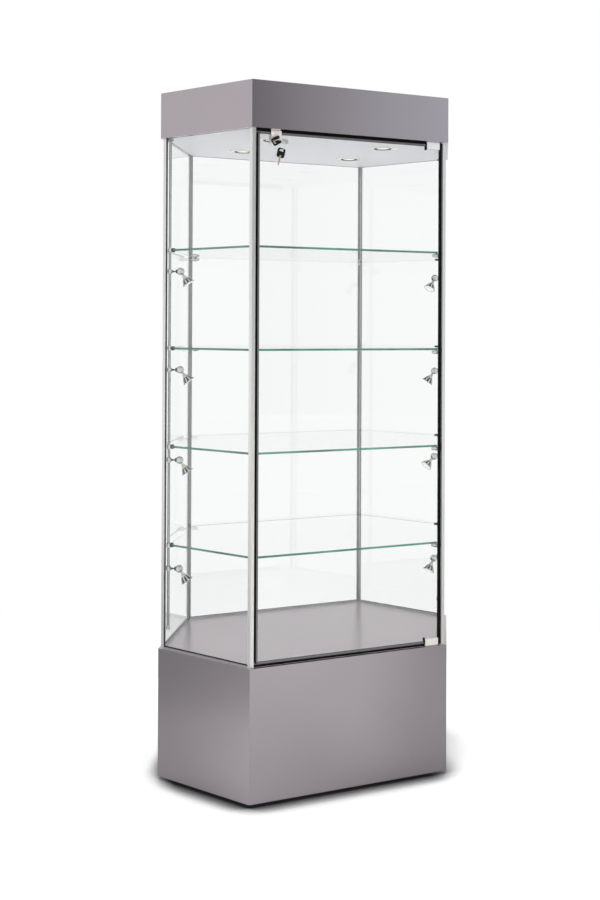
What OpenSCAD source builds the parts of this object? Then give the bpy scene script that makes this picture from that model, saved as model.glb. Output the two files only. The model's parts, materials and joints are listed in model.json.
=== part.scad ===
// Hexagonal tower showcase: a plinth and a canopy of mitred boards, six
// aluminium corner posts, five fixed glass sides and a hinged glass door.
// Inside are four glass shelves, recessed downlights, and two hanging rods
// that grip the shelf corners and carry eight tilting spotlights.
// Millimetres, +Z up, front towards -Y, origin on the floor in the middle.

/* [Cabinet] */
// Width of the front and rear faces
front_w = 614; // [580:2:700]
// Length of each of the four slanted side faces
side_w = 342; // [330:2:420]
// Overall height, feet included
overall_h = 1980; // [1900:5:2100]
// Height of the plinth boards
plinth_h = 367; // [300:1:450]
// Height of the canopy boards
canopy_h = 131; // [125:1:200]
// Thickness of the plinth and canopy boards
board_t = 18; // [18:1:22]
// Depth of the top board below the canopy's rim
top_recess = 25; // [10:1:30]
// Thickness of the top board
top_t = 12; // [9:1:16]

/* [Levelling feet] */
// Gap between the floor and the plinth with the feet screwed in
foot_gap = 10; // [9:0.5:14]
// Diameter of a foot's pad
pad_d = 38; // [30:1:45]
// Diameter of a foot's stem
stem_d = 8; // [6:1:10]
// Length of stem above the plinth's underside
stem_reach = 36; // [30:1:50]
// Distance of the feet from the middle, sideways
foot_x = 250; // [200:5:260]
// Distance of the feet from the middle, front to back
foot_y = 230; // [180:5:240]

/* [Posts and glazing] */
// Distance of the posts from the plinth's outer face
post_inset = 7; // [5:0.5:8]
// Visible width of a post on each face
post_leg = 10; // [9:0.5:12]
// Thickness of a post's outer skin
post_skin = 1.2; // [1:0.1:1.5]
// Thickness of a post's inner lip
post_lip = 1.3; // [1:0.1:2]
// Thickness of the side, rear and door glass
glass_t = 6; // [5:0.5:6]
// Rubber between the glass and its slot, each side
gasket_t = 0.5; // [0.4:0.1:0.8]
// Distance from a post's corner to the bottom of its slot
slot_floor = 6; // [5.6:0.1:7]
// Height of the aluminium channel under the fixed glass
channel_h = 5; // [4:0.5:8]
// Depth of the groove in the canopy for the fixed glass
groove_h = 12; // [8:1:14]
// How far the fixed glass reaches into that groove
glass_lift = 6; // [4:0.5:7]

/* [Door] */
// Gap between the door glass and a post
door_gap = 5; // [4:0.5:7]
// Gap above and below the door glass
door_clear = 7; // [7:0.5:9]
// Width of the rubber seal on the glass
seal_leg = 7; // [5:0.5:9]
// Thickness of the rubber seal beside the glass
seal_wall = 1.3; // [1:0.1:2]
// Gap between the seal's bead and the frame
bead_gap = 1.8; // [1.6:0.1:2.4]
// Width of a hinge block
hinge_w = 42; // [36:1:50]
// Height of a hinge block
hinge_h = 20; // [16:1:26]
// Thickness of a hinge block
hinge_t = 14; // [12:1:16]
// Distance from the hinge block's outer end to the pivot
pivot_in = 4.3; // [4:0.1:6]
// Diameter of a pivot pin
pivot_d = 4; // [3:0.5:5]
// Thickness of a pivot plate
plate_t = 1.5; // [1:0.1:1.5]

/* [Lock and keys] */
// Width of the lock plate
lock_w = 30; // [26:1:36]
// Height of the lock plate
lock_h = 33; // [30:1:40]
// Thickness of the lock plate in front of the glass
lock_t = 4; // [3:0.5:5]
// Depth of the lock's housing behind the glass
lock_body = 12; // [10:0.5:14]
// Distance from the door glass's edge to the lock plate's middle
lock_in = 54; // [50:1:110]
// Sideways distance of the lock cylinder from the plate's middle
plug_off = 5; // [0:0.5:6]
// Height of the lock cylinder above the plate's lower edge
plug_up = 9; // [8.5:0.5:12]
// Diameter of the lock cylinder
plug_d = 12; // [10:0.5:12]
// Length of the cam from the cylinder's axis
cam_len = 38; // [37:0.5:38]
// Width of the cam
cam_w = 12; // [10:0.5:13]
// Direction of the key bow seen from the front
key_turn = 211; // [200:1:225]
// Length of a key's bow
bow_l = 26; // [24:1:28]
// Width of a key's bow
bow_w = 22; // [20:1:24]
// Thickness of a key's bow
bow_t = 5; // [4:0.5:5]
// Width of a key's blade
blade_w = 6; // [5:0.5:6.5]
// Thickness of a key's blade
blade_t = 2.2; // [1.8:0.1:2.4]
// Radius of the key ring
ring_r = 16.3; // [16:0.1:17]
// Thickness of the ring's wire
ring_wire = 1.6; // [1.2:0.1:1.8]
// Lean of the ring out of the keys' hanging plane
ring_lean = 35; // [30:1:40]

/* [Shelves] */
// Thickness of a glass shelf
shelf_t = 6; // [5:0.5:8]
// Drop from the ceiling to the middle of the first shelf
first_drop = 322; // [300:1:340]
// Rise from the deck to the middle of the lowest shelf
last_rise = 295; // [280:1:320]
// Distance of the shelf edges from the plinth's outer face
shelf_inset = 31; // [28.5:0.5:36]
// Length of a shelf peg
peg_l = 36; // [30:1:40]
// Diameter of a shelf peg's sleeve
peg_d = 11.5; // [10:0.5:12]

/* [Rods and spotlights] */
// Diameter of the hanging rods
rod_d = 8; // [6:0.5:10]
// Distance from a rod's axis to the cabinet's side corner
rod_set = 31; // [29:0.5:36]
// Height of the rods' lower ends above the deck
rod_lift = 51; // [30:1:80]
// Distance from a rod's axis to the cut shelf corner
corner_cut = 9; // [8.5:0.5:12]
// Length of a spotlight's arm from the rod's axis to its joint
arm_l = 32; // [30:0.5:36]
// Turn of the arms towards the front
arm_turn = 33; // [20:1:45]
// Diameter of a spotlight's joint housing
knuckle_d = 22; // [21:0.5:24]
// Diameter of the ball inside the joint
ball_d = 16; // [15:0.5:16.5]
// Diameter of a spotlight's neck
neck_d = 6; // [5:0.5:7]
// Distance from the joint to the lamp's rim
head_l = 41; // [38:0.5:46]
// Diameter of a spotlight's lamp
lamp_d = 35; // [30:0.5:38]
// Lowest and highest lean of a lamp below the horizon
tilt_min = 18; // [10:1:25]
tilt_max = 88; // [80:1:90]

/* [Downlights] */
// Diameter of a downlight's bezel
bezel_d = 85; // [80:1:95]
// Diameter of a downlight's opening
light_d = 53; // [50:1:56]
// Diameter of a downlight's housing
can_d = 66; // [64:1:70]
// Distance of the downlights from the middle, sideways
light_x = 180; // [150:5:200]
// Distance of the downlights from the middle, front to back
light_y = 120; // [90:5:140]
// Length of a downlight's lamp
light_l = 42; // [36:1:44]
// Length of the light driver
driver_l = 160; // [120:5:200]
// Width of the light driver
driver_w = 60; // [40:2:70]
// Height of the light driver
driver_h = 34; // [25:1:40]

/* [Hidden] */
$fn = 64;

// Clearances: parts that turn or slide, parts that sit close, parts that stay clear,
// and how far a cut runs past a face
run = 0.05;
near = 0.1;
open = 0.4;
cut = 1;

silver = [0.62, 0.59, 0.61];
deck_mauve = [0.7, 0.66, 0.69];
alu = [0.82, 0.81, 0.79];
clear_glass = [0.75, 0.92, 0.88, 0.35];
black = [0.06, 0.06, 0.06];
chrome = [0.85, 0.86, 0.87];
ceramic = [0.9, 0.88, 0.82];

deck_z = foot_gap + plinth_h;
ceiling_z = overall_h - canopy_h;
half_d = side_w * sin(60);
tip = front_w / 2 + side_w * cos(60);

// Depth of the glass slot and of the whole post, from the post's outer face
slot_w = glass_t + 2 * gasket_t;
post_depth = post_skin + slot_w + post_lip;
glass_in = post_inset + post_skin + gasket_t;
inner_in = post_inset + post_depth;

// Door planes and edges
door_y = glass_in + glass_t / 2 - half_d;
door_half = front_w / 2 - post_inset * tan(30) - post_leg - door_gap;
door_low = deck_z + door_clear;
door_high = ceiling_z - door_clear;
side_bead = door_gap - bead_gap;
end_bead = door_clear - bead_gap;
hinge_right = door_half - seal_leg - 2 * near;
hinge_left = hinge_right - hinge_w;
hinge_lift = plate_t + 0.6;
pivot_x = hinge_right - pivot_in;
tab_w = 4;

// Lock, keys and ring
lock_x = lock_in - door_half;
plug_x = lock_x + plug_off;
lock_top = door_high + 2.4;
plug_z = lock_top - lock_h + plug_up;
lock_front = door_y - glass_t / 2 - lock_t;
lock_back = door_y + glass_t / 2 + lock_body;
plug_back = lock_back + 0.6;
stud_d = 5;
cam_t = 2.5;
pin_y = lock_front - 6.5;
pin_d = 2.4;
blade_l = lock_back - 1.5 - pin_y;
knuckle_r = 2.5;
knuckle_w = 5;
bow_near = 4;
bow_hole = 6.8;
hole_at = bow_l - bow_near - bow_hole + 1.2;
spare_shift = [21.6, -21.2];
spare_turn = 257;
hole_1 = [plug_x + hole_at * cos(key_turn), plug_z + hole_at * sin(key_turn)];
hole_2 = hole_1 + spare_shift;
chord = norm(spare_shift);
ring_rise = sqrt(ring_r * ring_r - chord * chord / 4);

// Shelves, rods and spotlights; spots 1 to 4 hang on the left rod and 5 to 8 on the right
shelf_count = 4;
shelf_pitch = (ceiling_z - deck_z - first_drop - last_rise) / (shelf_count - 1);
rod_x = tip - rod_set;
rod_end = deck_z + rod_lift;
clip_d = 13;
spot_drop = [62, 62, 38, 67, 63, 75, 63, 103];
spot_tilt = [56, 52, 56, 56, 56, 56, 42, 59];
spot_pan = [24, 24, 24, 24, 14, -24, 5, 10];

function half_w(t) = front_w / 2 - t * tan(30);
function hex_points(t) = [
    [-half_w(t), t - half_d], [half_w(t), t - half_d], [tip - t / sin(60), 0],
    [half_w(t), half_d - t], [-half_w(t), half_d - t], [t / sin(60) - tip, 0]
];
function face_len(k) = k % 3 == 0 ? front_w : side_w;
function face_mid(k) = (hex_points(0)[k] + hex_points(0)[(k + 1) % 6]) / 2;
function shelf_z(n) = ceiling_z - first_drop - (n - 1) * shelf_pitch;
function spot_side(n) = n <= shelf_count ? -1 : 1;
function spot_z(n) = shelf_z((n - 1) % shelf_count + 1) - spot_drop[n - 1];
function spot_heading(n, turn) = n <= shelf_count ? -turn : 180 + turn;

// Face k counts from the front anticlockwise; X runs along the face and Y goes inwards
module on_face(k) {
    translate([face_mid(k)[0], face_mid(k)[1], 0])
        rotate([0, 0, 60 * k])
            children();
}

// Corner k lies between faces k and k + 1; X points to the inside along the bisector
module at_corner(k, inset) {
    p = hex_points(inset)[(k + 1) % 6];
    translate([p[0], p[1], 0])
        rotate([0, 0, 120 + 60 * k])
            children();
}

module hex_plate(inset, z, h) {
    translate([0, 0, z])
        linear_extrude(h)
            polygon(hex_points(inset));
}

// A box given by its lowest corner and its highest corner
module span(low, high) {
    translate(low)
        cube(high - low);
}

module rounded_rect(low, high, r) {
    translate([low[0] + r, low[1]])
        square([high[0] - low[0] - 2 * r, high[1] - low[1]]);
    translate([low[0], low[1] + r])
        square([high[0] - low[0], high[1] - low[1] - 2 * r]);
    for (x = [low[0] + r, high[0] - r], y = [low[1] + r, high[1] - r])
        translate([x, y])
            circle(r);
}

// ---- Plinth ----

// One mitred board on face k
module board(k, z, h) {
    outer = face_len(k) / 2 - run;
    inner = outer - board_t * tan(30);
    on_face(k)
        translate([0, 0, z])
            linear_extrude(h)
                polygon([[-outer, 0], [outer, 0], [inner, board_t], [-inner, board_t]]);
}

module plinth_front() {
    color(silver) board(0, foot_gap, plinth_h);
}

module plinth_boards() {
    color(silver)
        for (k = [1:5])
            board(k, foot_gap, plinth_h);
}

module at_feet() {
    for (x = [-foot_x, foot_x], y = [-foot_y, foot_y])
        translate([x, y, 0])
            children();
}

socket_d = stem_d + 3.5;
socket_flange = 1.6;

module plinth_base() {
    color(silver)
        difference() {
            hex_plate(board_t, foot_gap, board_t);
            at_feet()
                translate([0, 0, foot_gap - cut])
                    cylinder(d = socket_d + 2 * near, h = board_t + 2 * cut);
        }
}

module deck() {
    color(deck_mauve) hex_plate(board_t, deck_z - board_t, board_t);
}

// Flanged threaded bushes pressed into the base board from below
module foot_sockets() {
    color(chrome)
        at_feet()
            difference() {
                union() {
                    translate([0, 0, foot_gap - socket_flange])
                        cylinder(d = stem_d * 3, h = socket_flange);
                    translate([0, 0, foot_gap - cut])
                        cylinder(d = socket_d, h = board_t + cut);
                }
                cylinder(d = stem_d + 2 * run, h = foot_gap + board_t + cut);
            }
}

// A swept pad, a hexagon for the spanner, and the stem
module foot(n) {
    x = n % 2 == 1 ? -foot_x : foot_x;
    y = n <= 2 ? -foot_y : foot_y;
    top = foot_gap - socket_flange - 2 * near;
    pad_h = top - 2.4;
    translate([x, y, 0]) {
        color(black)
            rotate_extrude()
                polygon([
                    [0, 0], [pad_d / 2 - 1, 0], [pad_d / 2, 1], [pad_d / 2, 2],
                    [pad_d / 2 - 5, pad_h], [0, pad_h]
                ]);
        color(chrome)
            translate([0, 0, pad_h])
                cylinder(d = stem_d * 1.85, h = top - pad_h, $fn = 6);
        color(chrome)
            translate([0, 0, pad_h])
                cylinder(d = stem_d, h = foot_gap + stem_reach - pad_h);
    }
}

// ---- Posts and fixed glass ----

// The slot in one leg of a post; X runs along the leg from the outer corner
module leg_slot() {
    translate([slot_floor, post_skin])
        square([post_leg, slot_w]);
}

// A 120 degree post at corner k; a leg without a slot stands beside the door
module post(k, slot_before, slot_after) {
    end = post_leg * [cos(60), sin(60)];
    back = end + post_depth * [sin(60), -cos(60)];
    color(alu)
        at_corner(k, post_inset)
            translate([0, 0, deck_z])
                linear_extrude(ceiling_z - deck_z)
                    difference() {
                        polygon([
                            [0, 0], [end[0], -end[1]], [back[0], -back[1]],
                            [post_depth / sin(60), 0], back, end
                        ]);
                        if (slot_after)
                            rotate(-60)
                                leg_slot();
                        if (slot_before)
                            mirror([0, 1])
                                rotate(-60)
                                    leg_slot();
                    }
}

function glass_half(k) = face_len(k) / 2 - post_inset * tan(30) - slot_floor - open;
function clear_half(k) = face_len(k) / 2 - post_inset * tan(30) - post_leg;

module fixed_glass(k) {
    color(clear_glass)
        on_face(k)
            span(
                [-glass_half(k), glass_in, deck_z + post_skin],
                [glass_half(k), glass_in + glass_t, ceiling_z + glass_lift]
            );
}

// U channels on the deck between the posts
module glazing_channels() {
    color(alu)
        for (k = [1:5])
            on_face(k)
                difference() {
                    span(
                        [-clear_half(k), post_inset, deck_z],
                        [clear_half(k), inner_in, deck_z + channel_h]
                    );
                    span(
                        [-clear_half(k) - cut, post_inset + post_skin, deck_z + post_skin],
                        [clear_half(k) + cut, inner_in - post_lip, deck_z + channel_h + cut]
                    );
                }
}

// Wedge strips on the inside of the glass: two upright and one along the channel
module glazing_gaskets() {
    bead = 2;
    glass_face = glass_in + glass_t;
    slot_face = glass_face + gasket_t;
    color(black)
        for (k = [1:5])
            on_face(k)
                for (side = [-1, 1]) {
                    edge = clear_half(k);
                    translate([0, 0, deck_z + channel_h + bead])
                        linear_extrude(ceiling_z - deck_z - channel_h - bead)
                            scale_x(side)
                                polygon([
                                    [edge - bead, glass_face], [edge + 2, glass_face],
                                    [edge + 2, slot_face], [edge, slot_face],
                                    [edge, glass_face + bead], [edge - bead, glass_face + 1]
                                ]);
                    if (side > 0) {
                        span(
                            [-edge, glass_face, deck_z + channel_h],
                            [edge, glass_face + bead, deck_z + channel_h + bead]
                        );
                        span(
                            [-edge, glass_face, deck_z + post_skin],
                            [edge, slot_face, deck_z + channel_h]
                        );
                    }
                }
}

module scale_x(side) {
    mirror([side < 0 ? 1 : 0, 0])
        children();
}

// ---- Door ----

module door_glass() {
    color(clear_glass)
        difference() {
            span(
                [-door_half, door_y - glass_t / 2, door_low],
                [door_half, door_y + glass_t / 2, door_high]
            );
            translate([plug_x, door_y - glass_t / 2 - cut, plug_z])
                rotate([-90, 0, 0])
                    cylinder(d = plug_d + 4.6, h = glass_t + 2 * cut);
        }
}

// Section of the seal: X points out of the door, the glass edge is at X = 0
module seal_section(leg, bead) {
    half = glass_t / 2 + seal_wall;
    r = 2;
    difference() {
        union() {
            translate([-leg, -half])
                square([leg + seal_wall, 2 * half]);
            translate([0, -r])
                square([bead - r, 2 * r]);
            translate([bead - r, 0])
                circle(r);
        }
        translate([-leg - cut, -glass_t / 2])
            square([leg + cut, glass_t]);
    }
}

// One strip of seal along an upright edge, bead towards the side given
module side_seal(side) {
    translate([side * door_half, door_y, door_low - end_bead])
        linear_extrude(door_high - door_low + 2 * end_bead)
            scale_x(side)
                seal_section(seal_leg, side_bead);
}

// One strip of seal along the top or bottom edge, from x0 to x1
module end_seal(up, x0, x1, leg) {
    translate([x0, door_y, up > 0 ? door_high : door_low])
        rotate([0, 90, 0])
            linear_extrude(x1 - x0)
                scale_x(-up)
                    seal_section(leg, end_bead);
}

module door_seal() {
    corner = door_half - seal_leg;
    color(black) {
        side_seal(-1);
        side_seal(1);
        end_seal(1, -corner, lock_x - lock_w / 2 - near, seal_leg);
        end_seal(1, lock_x + lock_w / 2 + near, hinge_left - tab_w, seal_leg);
        end_seal(-1, -corner, hinge_left - tab_w, seal_leg);
        for (up = [-1, 1])
            end_seal(up, hinge_left - tab_w, hinge_left - near, hinge_h - 2);
    }
}

// Placed once as drawn at the deck and once upside down at the ceiling
module at_both_ends() {
    children();
    translate([0, 0, deck_z + ceiling_z])
        mirror([0, 0, 1])
            children();
}

// Blocks that slide over the glass edge and turn on the pivot pins
module door_hinges() {
    low = deck_z + hinge_lift;
    color(chrome)
        at_both_ends()
            difference() {
                span(
                    [hinge_left, door_y - hinge_t / 2, low],
                    [hinge_right, door_y + hinge_t / 2, low + hinge_h]
                );
                span(
                    [hinge_left - cut, door_y - glass_t / 2 - near, door_low - near],
                    [hinge_right + cut, door_y + glass_t / 2 + near, low + hinge_h + cut]
                );
                translate([pivot_x, door_y, low - cut])
                    cylinder(d = pivot_d + 2 * run, h = door_low - low + cut - 0.6);
            }
}

// Plates screwed to the deck and the ceiling, each with its pin
module pivot_plates() {
    pin_top = door_low - 1;
    color(chrome)
        at_both_ends() {
            span(
                [hinge_left + 1, door_y - hinge_t / 2 + 1, deck_z],
                [hinge_right - 0.5, door_y + hinge_t / 2 - 1, deck_z + plate_t]
            );
            translate([pivot_x, door_y, deck_z + plate_t / 2])
                cylinder(d = pivot_d, h = pin_top - deck_z - plate_t / 2);
        }
}

// ---- Lock and keys ----

// X points along the key bow, Y to the rear, Z across the bow
module lock_frame() {
    translate([plug_x, 0, plug_z])
        rotate([0, -key_turn, 0])
            children();
}

// A cylinder along Y between two depths
module along_y(d, y0, y1) {
    translate([0, y0, 0])
        rotate([-90, 0, 0])
            cylinder(d = d, h = y1 - y0);
}

// Plates on both sides of the glass, a bridge over its edge and the barrel through it
module lock_case() {
    low = lock_top - lock_h;
    color(chrome)
        difference() {
            union() {
                span(
                    [lock_x - lock_w / 2, lock_front, low],
                    [lock_x + lock_w / 2, door_y - glass_t / 2, lock_top]
                );
                span(
                    [lock_x - lock_w / 2, door_y + glass_t / 2, low],
                    [lock_x + lock_w / 2, lock_back, lock_top]
                );
                span(
                    [lock_x - lock_w / 2, lock_front, door_high + near],
                    [lock_x + lock_w / 2, lock_back, lock_top]
                );
                translate([plug_x, 0, plug_z])
                    along_y(plug_d + 4, lock_front + cut, lock_back - cut);
            }
            translate([plug_x, 0, plug_z])
                along_y(plug_d + 2 * run, lock_front - cut, lock_back + cut);
        }
}

// The cylinder with its keyway, a stud for the cam and the cam's nut
module lock_plug() {
    color(chrome)
        lock_frame() {
            difference() {
                union() {
                    along_y(plug_d, lock_front, plug_back);
                    along_y(plug_d + 2, lock_front - 0.8, lock_front - near);
                    along_y(stud_d, plug_back - cut, plug_back + cam_t + 3);
                    along_y(plug_d, lock_front - 0.5, lock_front + cut);
                }
                span(
                    [-blade_t / 2 - near, lock_front - cut, -blade_w / 2 - near],
                    [blade_t / 2 + near, pin_y + blade_l + near, blade_w / 2 + near]
                );
            }
            difference() {
                along_y(stud_d + 4, plug_back + cam_t, plug_back + cam_t + 2.4);
                along_y(stud_d + 2 * run, plug_back, plug_back + cam_t + 4);
            }
        }
}

// The cam points sideways when unlocked and turns up into the ceiling's slot
module lock_cam() {
    color(chrome)
        translate([plug_x, plug_back, plug_z])
            rotate([90, 0, 0])
                translate([0, 0, -cam_t])
                    linear_extrude(cam_t)
                        difference() {
                            union() {
                                circle(d = cam_w);
                                translate([0, -cam_w / 2])
                                    square([cam_len, cam_w]);
                            }
                            circle(d = stud_d + 2 * near);
                        }
}

// A key blade along Y, with the knuckle on which its bow folds round the origin
module blade(length) {
    shank = 5;
    difference() {
        union() {
            span([-blade_t / 2, 0, -knuckle_w / 2], [blade_t / 2, shank + cut, knuckle_w / 2]);
            span([-blade_t / 2, shank, -blade_w / 2], [blade_t / 2, length, blade_w / 2]);
            translate([0, 0, -knuckle_w / 2])
                cylinder(r = knuckle_r, h = knuckle_w);
        }
        translate([0, 0, -bow_w])
            cylinder(d = pin_d + 2 * run, h = 2 * bow_w);
    }
}

module key_blade() {
    color("khaki")
        lock_frame()
            translate([0, pin_y, 0])
                blade(blade_l);
}

// Flat outline of a bow with its arched hole; the pin is at the origin
module bow_outline() {
    r = 5;
    far = bow_l - bow_near;
    difference() {
        rounded_rect([-bow_near, -bow_w / 2], [far, bow_w / 2], r);
        translate([hole_at - 3.4, 0])
            intersection() {
                circle(bow_hole);
                translate([0, -bow_w])
                    square([bow_l, 2 * bow_w]);
            }
        translate([-bow_near - cut, -knuckle_w / 2 - open])
            square([bow_near + knuckle_r + open + cut, knuckle_w + 2 * open]);
    }
}

// A whole bow with its pin, lying across Y at the origin
module bow() {
    rotate([90, 0, 0])
        translate([0, 0, -bow_t / 2])
            linear_extrude(bow_t)
                bow_outline();
    translate([0, 0, -bow_w / 2 + cut])
        cylinder(d = pin_d, h = bow_w - 2 * cut);
}

module key_bow() {
    color(black)
        lock_frame()
            translate([0, pin_y, 0])
                bow();
}

// The ring passes through both bows' holes and leans forward
module key_ring() {
    middle = (hole_1 + hole_2) / 2;
    color(chrome)
        translate([middle[0], pin_y, middle[1]])
            rotate([0, -atan2(spare_shift[1], spare_shift[0]), 0])
                rotate([-ring_lean, 0, 0])
                    translate([0, -ring_rise, 0])
                        rotate_extrude()
                            translate([ring_r, 0])
                                circle(d = ring_wire, $fn = 24);
}

// The second key hangs unfolded; X points along it and its pin is at the origin
module spare_frame() {
    translate([hole_2[0], pin_y, hole_2[1]])
        rotate([0, -spare_turn, 0])
            translate([hole_at, 0, 0])
                children();
}

module spare_bow() {
    color(black)
        spare_frame()
            mirror([1, 0, 0])
                bow();
}

module spare_blade() {
    color("khaki")
        spare_frame()
            rotate([0, 0, -90])
                blade(blade_l);
}

// ---- Shelves ----

// A hexagon of glass whose side corners are cut square beside the rods
module shelf(n) {
    half = rod_x - corner_cut;
    color(clear_glass)
        intersection() {
            hex_plate(shelf_inset, shelf_z(n) - shelf_t / 2, shelf_t);
            translate([-half, -half_d, shelf_z(n) - shelf_t])
                cube([2 * half, 2 * half_d, 2 * shelf_t]);
        }
}

// A stem cut to the corner of the post, a thicker sleeve and a rounded tip
module peg() {
    sleeve = [peg_l * 0.4, peg_l * 0.68];
    tip_r = peg_d * 0.4;
    stem_r = (post_leg - post_depth / tan(60)) * sin(60) - near;
    side = peg_d / 2;
    intersection() {
        rotate([0, 90, 0]) {
            cylinder(r = stem_r, h = sleeve[0] + cut);
            translate([0, 0, sleeve[0]])
                cylinder(d = peg_d, h = sleeve[1] - sleeve[0]);
            translate([0, 0, sleeve[1] - cut])
                cylinder(r = tip_r, h = peg_l - sleeve[1] - tip_r + cut);
            translate([0, 0, peg_l - tip_r])
                sphere(tip_r);
        }
        translate([0, 0, -peg_d])
            linear_extrude(2 * peg_d)
                polygon([
                    [0, 0], [2 * side / tan(60), 2 * side], [2 * peg_l, 2 * side],
                    [2 * peg_l, -2 * side], [2 * side / tan(60), -2 * side]
                ]);
    }
}

module shelf_pegs() {
    color(chrome)
        for (n = [1:shelf_count], k = [0, 2, 3, 5])
            at_corner(k, inner_in)
                translate([0, 0, shelf_z(n) - shelf_t / 2 - peg_d / 2 - run])
                    peg();
}

// Places its children on both rods, X pointing into the cabinet
module at_rods() {
    translate([-rod_x, 0, 0])
        children();
    mirror([1, 0, 0])
        translate([-rod_x, 0, 0])
            children();
}

collar_d = rod_d + 4;
collar_h = 12;

// Collars that grip the rods level with each shelf
module rod_clamps() {
    color(chrome)
        at_rods()
            for (n = [1:shelf_count])
                translate([0, 0, shelf_z(n)])
                    difference() {
                        translate([0, 0, -collar_h / 2])
                            cylinder(d = collar_d, h = collar_h);
                        translate([0, 0, -collar_h])
                            cylinder(d = rod_d + 2 * run, h = 2 * collar_h);
                    }
}

// Rubber jaws beside the collars that hold the cut shelf corners
module clamp_jaws() {
    jaw_w = 9;
    jaw_end = corner_cut + 5;
    color(black)
        at_rods()
            for (n = [1:shelf_count])
                translate([0, 0, shelf_z(n)])
                    difference() {
                        span(
                            [0, -jaw_w / 2, -collar_h / 2],
                            [jaw_end, jaw_w / 2, collar_h / 2]
                        );
                        translate([0, 0, -collar_h])
                            cylinder(d = collar_d + 2 * run, h = 2 * collar_h);
                        span(
                            [corner_cut - near, -jaw_w, -shelf_t / 2 - run],
                            [2 * jaw_end, jaw_w, shelf_t / 2 + run]
                        );
                    }
}

// ---- Rods and spotlights ----

// A rod with its ceiling flange and its end cap
module rod(side) {
    flange_h = 5;
    cap_h = 4;
    color(chrome)
        translate([side * rod_x, 0, 0]) {
            translate([0, 0, rod_end + cap_h])
                cylinder(d = rod_d, h = ceiling_z - rod_end - cap_h);
            translate([0, 0, ceiling_z - flange_h])
                difference() {
                    cylinder(d = rod_d * 2.2, h = flange_h);
                    translate([0, 0, -cut])
                        cylinder(d = rod_d + 2 * run, h = flange_h + 2 * cut);
                }
            translate([0, 0, rod_end])
                cylinder(d1 = rod_d, d2 = rod_d + 2.4, h = cap_h);
        }
}

// Puts the origin at the joint of spotlight n
module at_joint(n) {
    heading = spot_heading(n, arm_turn);
    translate([spot_side(n) * rod_x, 0, spot_z(n)])
        translate([arm_l * cos(heading), arm_l * sin(heading), 0])
            children();
}

// Slot in the joint housing that lets the neck swing between its limits
module neck_slot(n) {
    half = neck_d / 2 + open;
    margin = asin(2 * half / ball_d) + 2;
    reach = knuckle_d;
    first = margin - tilt_min;
    last = -margin - tilt_max;
    rotate([0, 0, spot_heading(n, spot_pan[n - 1])])
        rotate([90, 0, 0])
            translate([0, 0, -half])
                linear_extrude(2 * half)
                    polygon(concat(
                        [[0, 0]],
                        [for (i = [0:5]) let (a = first + (last - first) * i / 5)
                            [reach * cos(a), reach * sin(a)]]
                    ));
}

// Collar on the rod, tapered stem and a hollow chrome housing for the ball
module spot_arm(n) {
    heading = spot_heading(n, arm_turn);
    collar_h = 13;
    difference() {
        union() {
            translate([spot_side(n) * rod_x, 0, spot_z(n)]) {
                translate([0, 0, -collar_h / 2])
                    cylinder(d = clip_d, h = collar_h);
                rotate([0, 0, heading])
                    rotate([0, 90, 0]) {
                        cylinder(d1 = collar_h - 2, d2 = 3.2, h = arm_l / 2);
                        cylinder(d = 3, h = arm_l - knuckle_d / 2 + cut);
                    }
            }
            at_joint(n)
                sphere(d = knuckle_d);
        }
        translate([spot_side(n) * rod_x, 0, spot_z(n) - collar_h])
            cylinder(d = rod_d + 2 * run, h = 2 * collar_h);
        at_joint(n) {
            sphere(d = ball_d + 2 * open);
            neck_slot(n);
        }
    }
}

module spot_arms() {
    color(chrome)
        for (n = [1:2 * shelf_count])
            spot_arm(n);
}

// Outline of the lamp's reflector, a dish that opens forwards from the holder
base_r = 7.5;
reflector_z = head_l / 2;
function dish(z, shrink) =
    base_r - shrink + (lamp_d / 2 - base_r) * sqrt((z - reflector_z) / (head_l - reflector_z));
dish_steps = 4;
dish_t = 0.9;

module reflector() {
    z = [for (i = [0:dish_steps]) reflector_z + (head_l - reflector_z) * i * i / dish_steps / dish_steps];
    rotate_extrude($fn = 12)
        polygon(concat(
            [[0, reflector_z]],
            [for (i = [0:dish_steps]) [dish(z[i], 0), z[i]]],
            [for (i = [dish_steps:-1:1]) [dish(z[i], dish_t), z[i]]],
            [[base_r - dish_t, reflector_z + dish_t], [0, reflector_z + dish_t]]
        ));
}

// Ball, neck and ceramic holder in one, then the reflector, its capsule and its front glass
module spot(n) {
    holder_z = knuckle_d / 2 + 2;
    at_joint(n)
        rotate([0, 90 + spot_tilt[n - 1], spot_heading(n, spot_pan[n - 1])]) {
            color(ceramic) {
                sphere(d = ball_d);
                cylinder(d = neck_d, h = holder_z + cut);
                translate([0, 0, holder_z])
                    cylinder(r1 = neck_d / 2 + 2, r2 = base_r - 0.5, h = reflector_z - holder_z - near);
            }
            color(chrome)
                reflector();
            color(ceramic)
                translate([0, 0, reflector_z + dish_t / 2])
                    cylinder(d = 7, h = 12);
            color(clear_glass)
                translate([0, 0, head_l - near])
                    cylinder(d = lamp_d + 1, h = 1.6);
        }
}

// ---- Canopy ----

// A canopy board, grooved underneath where fixed glass stands
module canopy_board(k) {
    color(silver)
        difference() {
            board(k, ceiling_z, canopy_h);
            if (k != 0)
                on_face(k)
                    span(
                        [-glass_half(k) - open, post_inset + post_skin, ceiling_z - cut],
                        [glass_half(k) + open, post_inset + post_skin + slot_w, ceiling_z + groove_h]
                    );
        }
}

module canopy_boards() {
    for (k = [1:5])
        canopy_board(k);
}

module at_downlights() {
    for (x = [-light_x, light_x], y = [-light_y, light_y])
        translate([x, y, ceiling_z])
            children();
}

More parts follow.
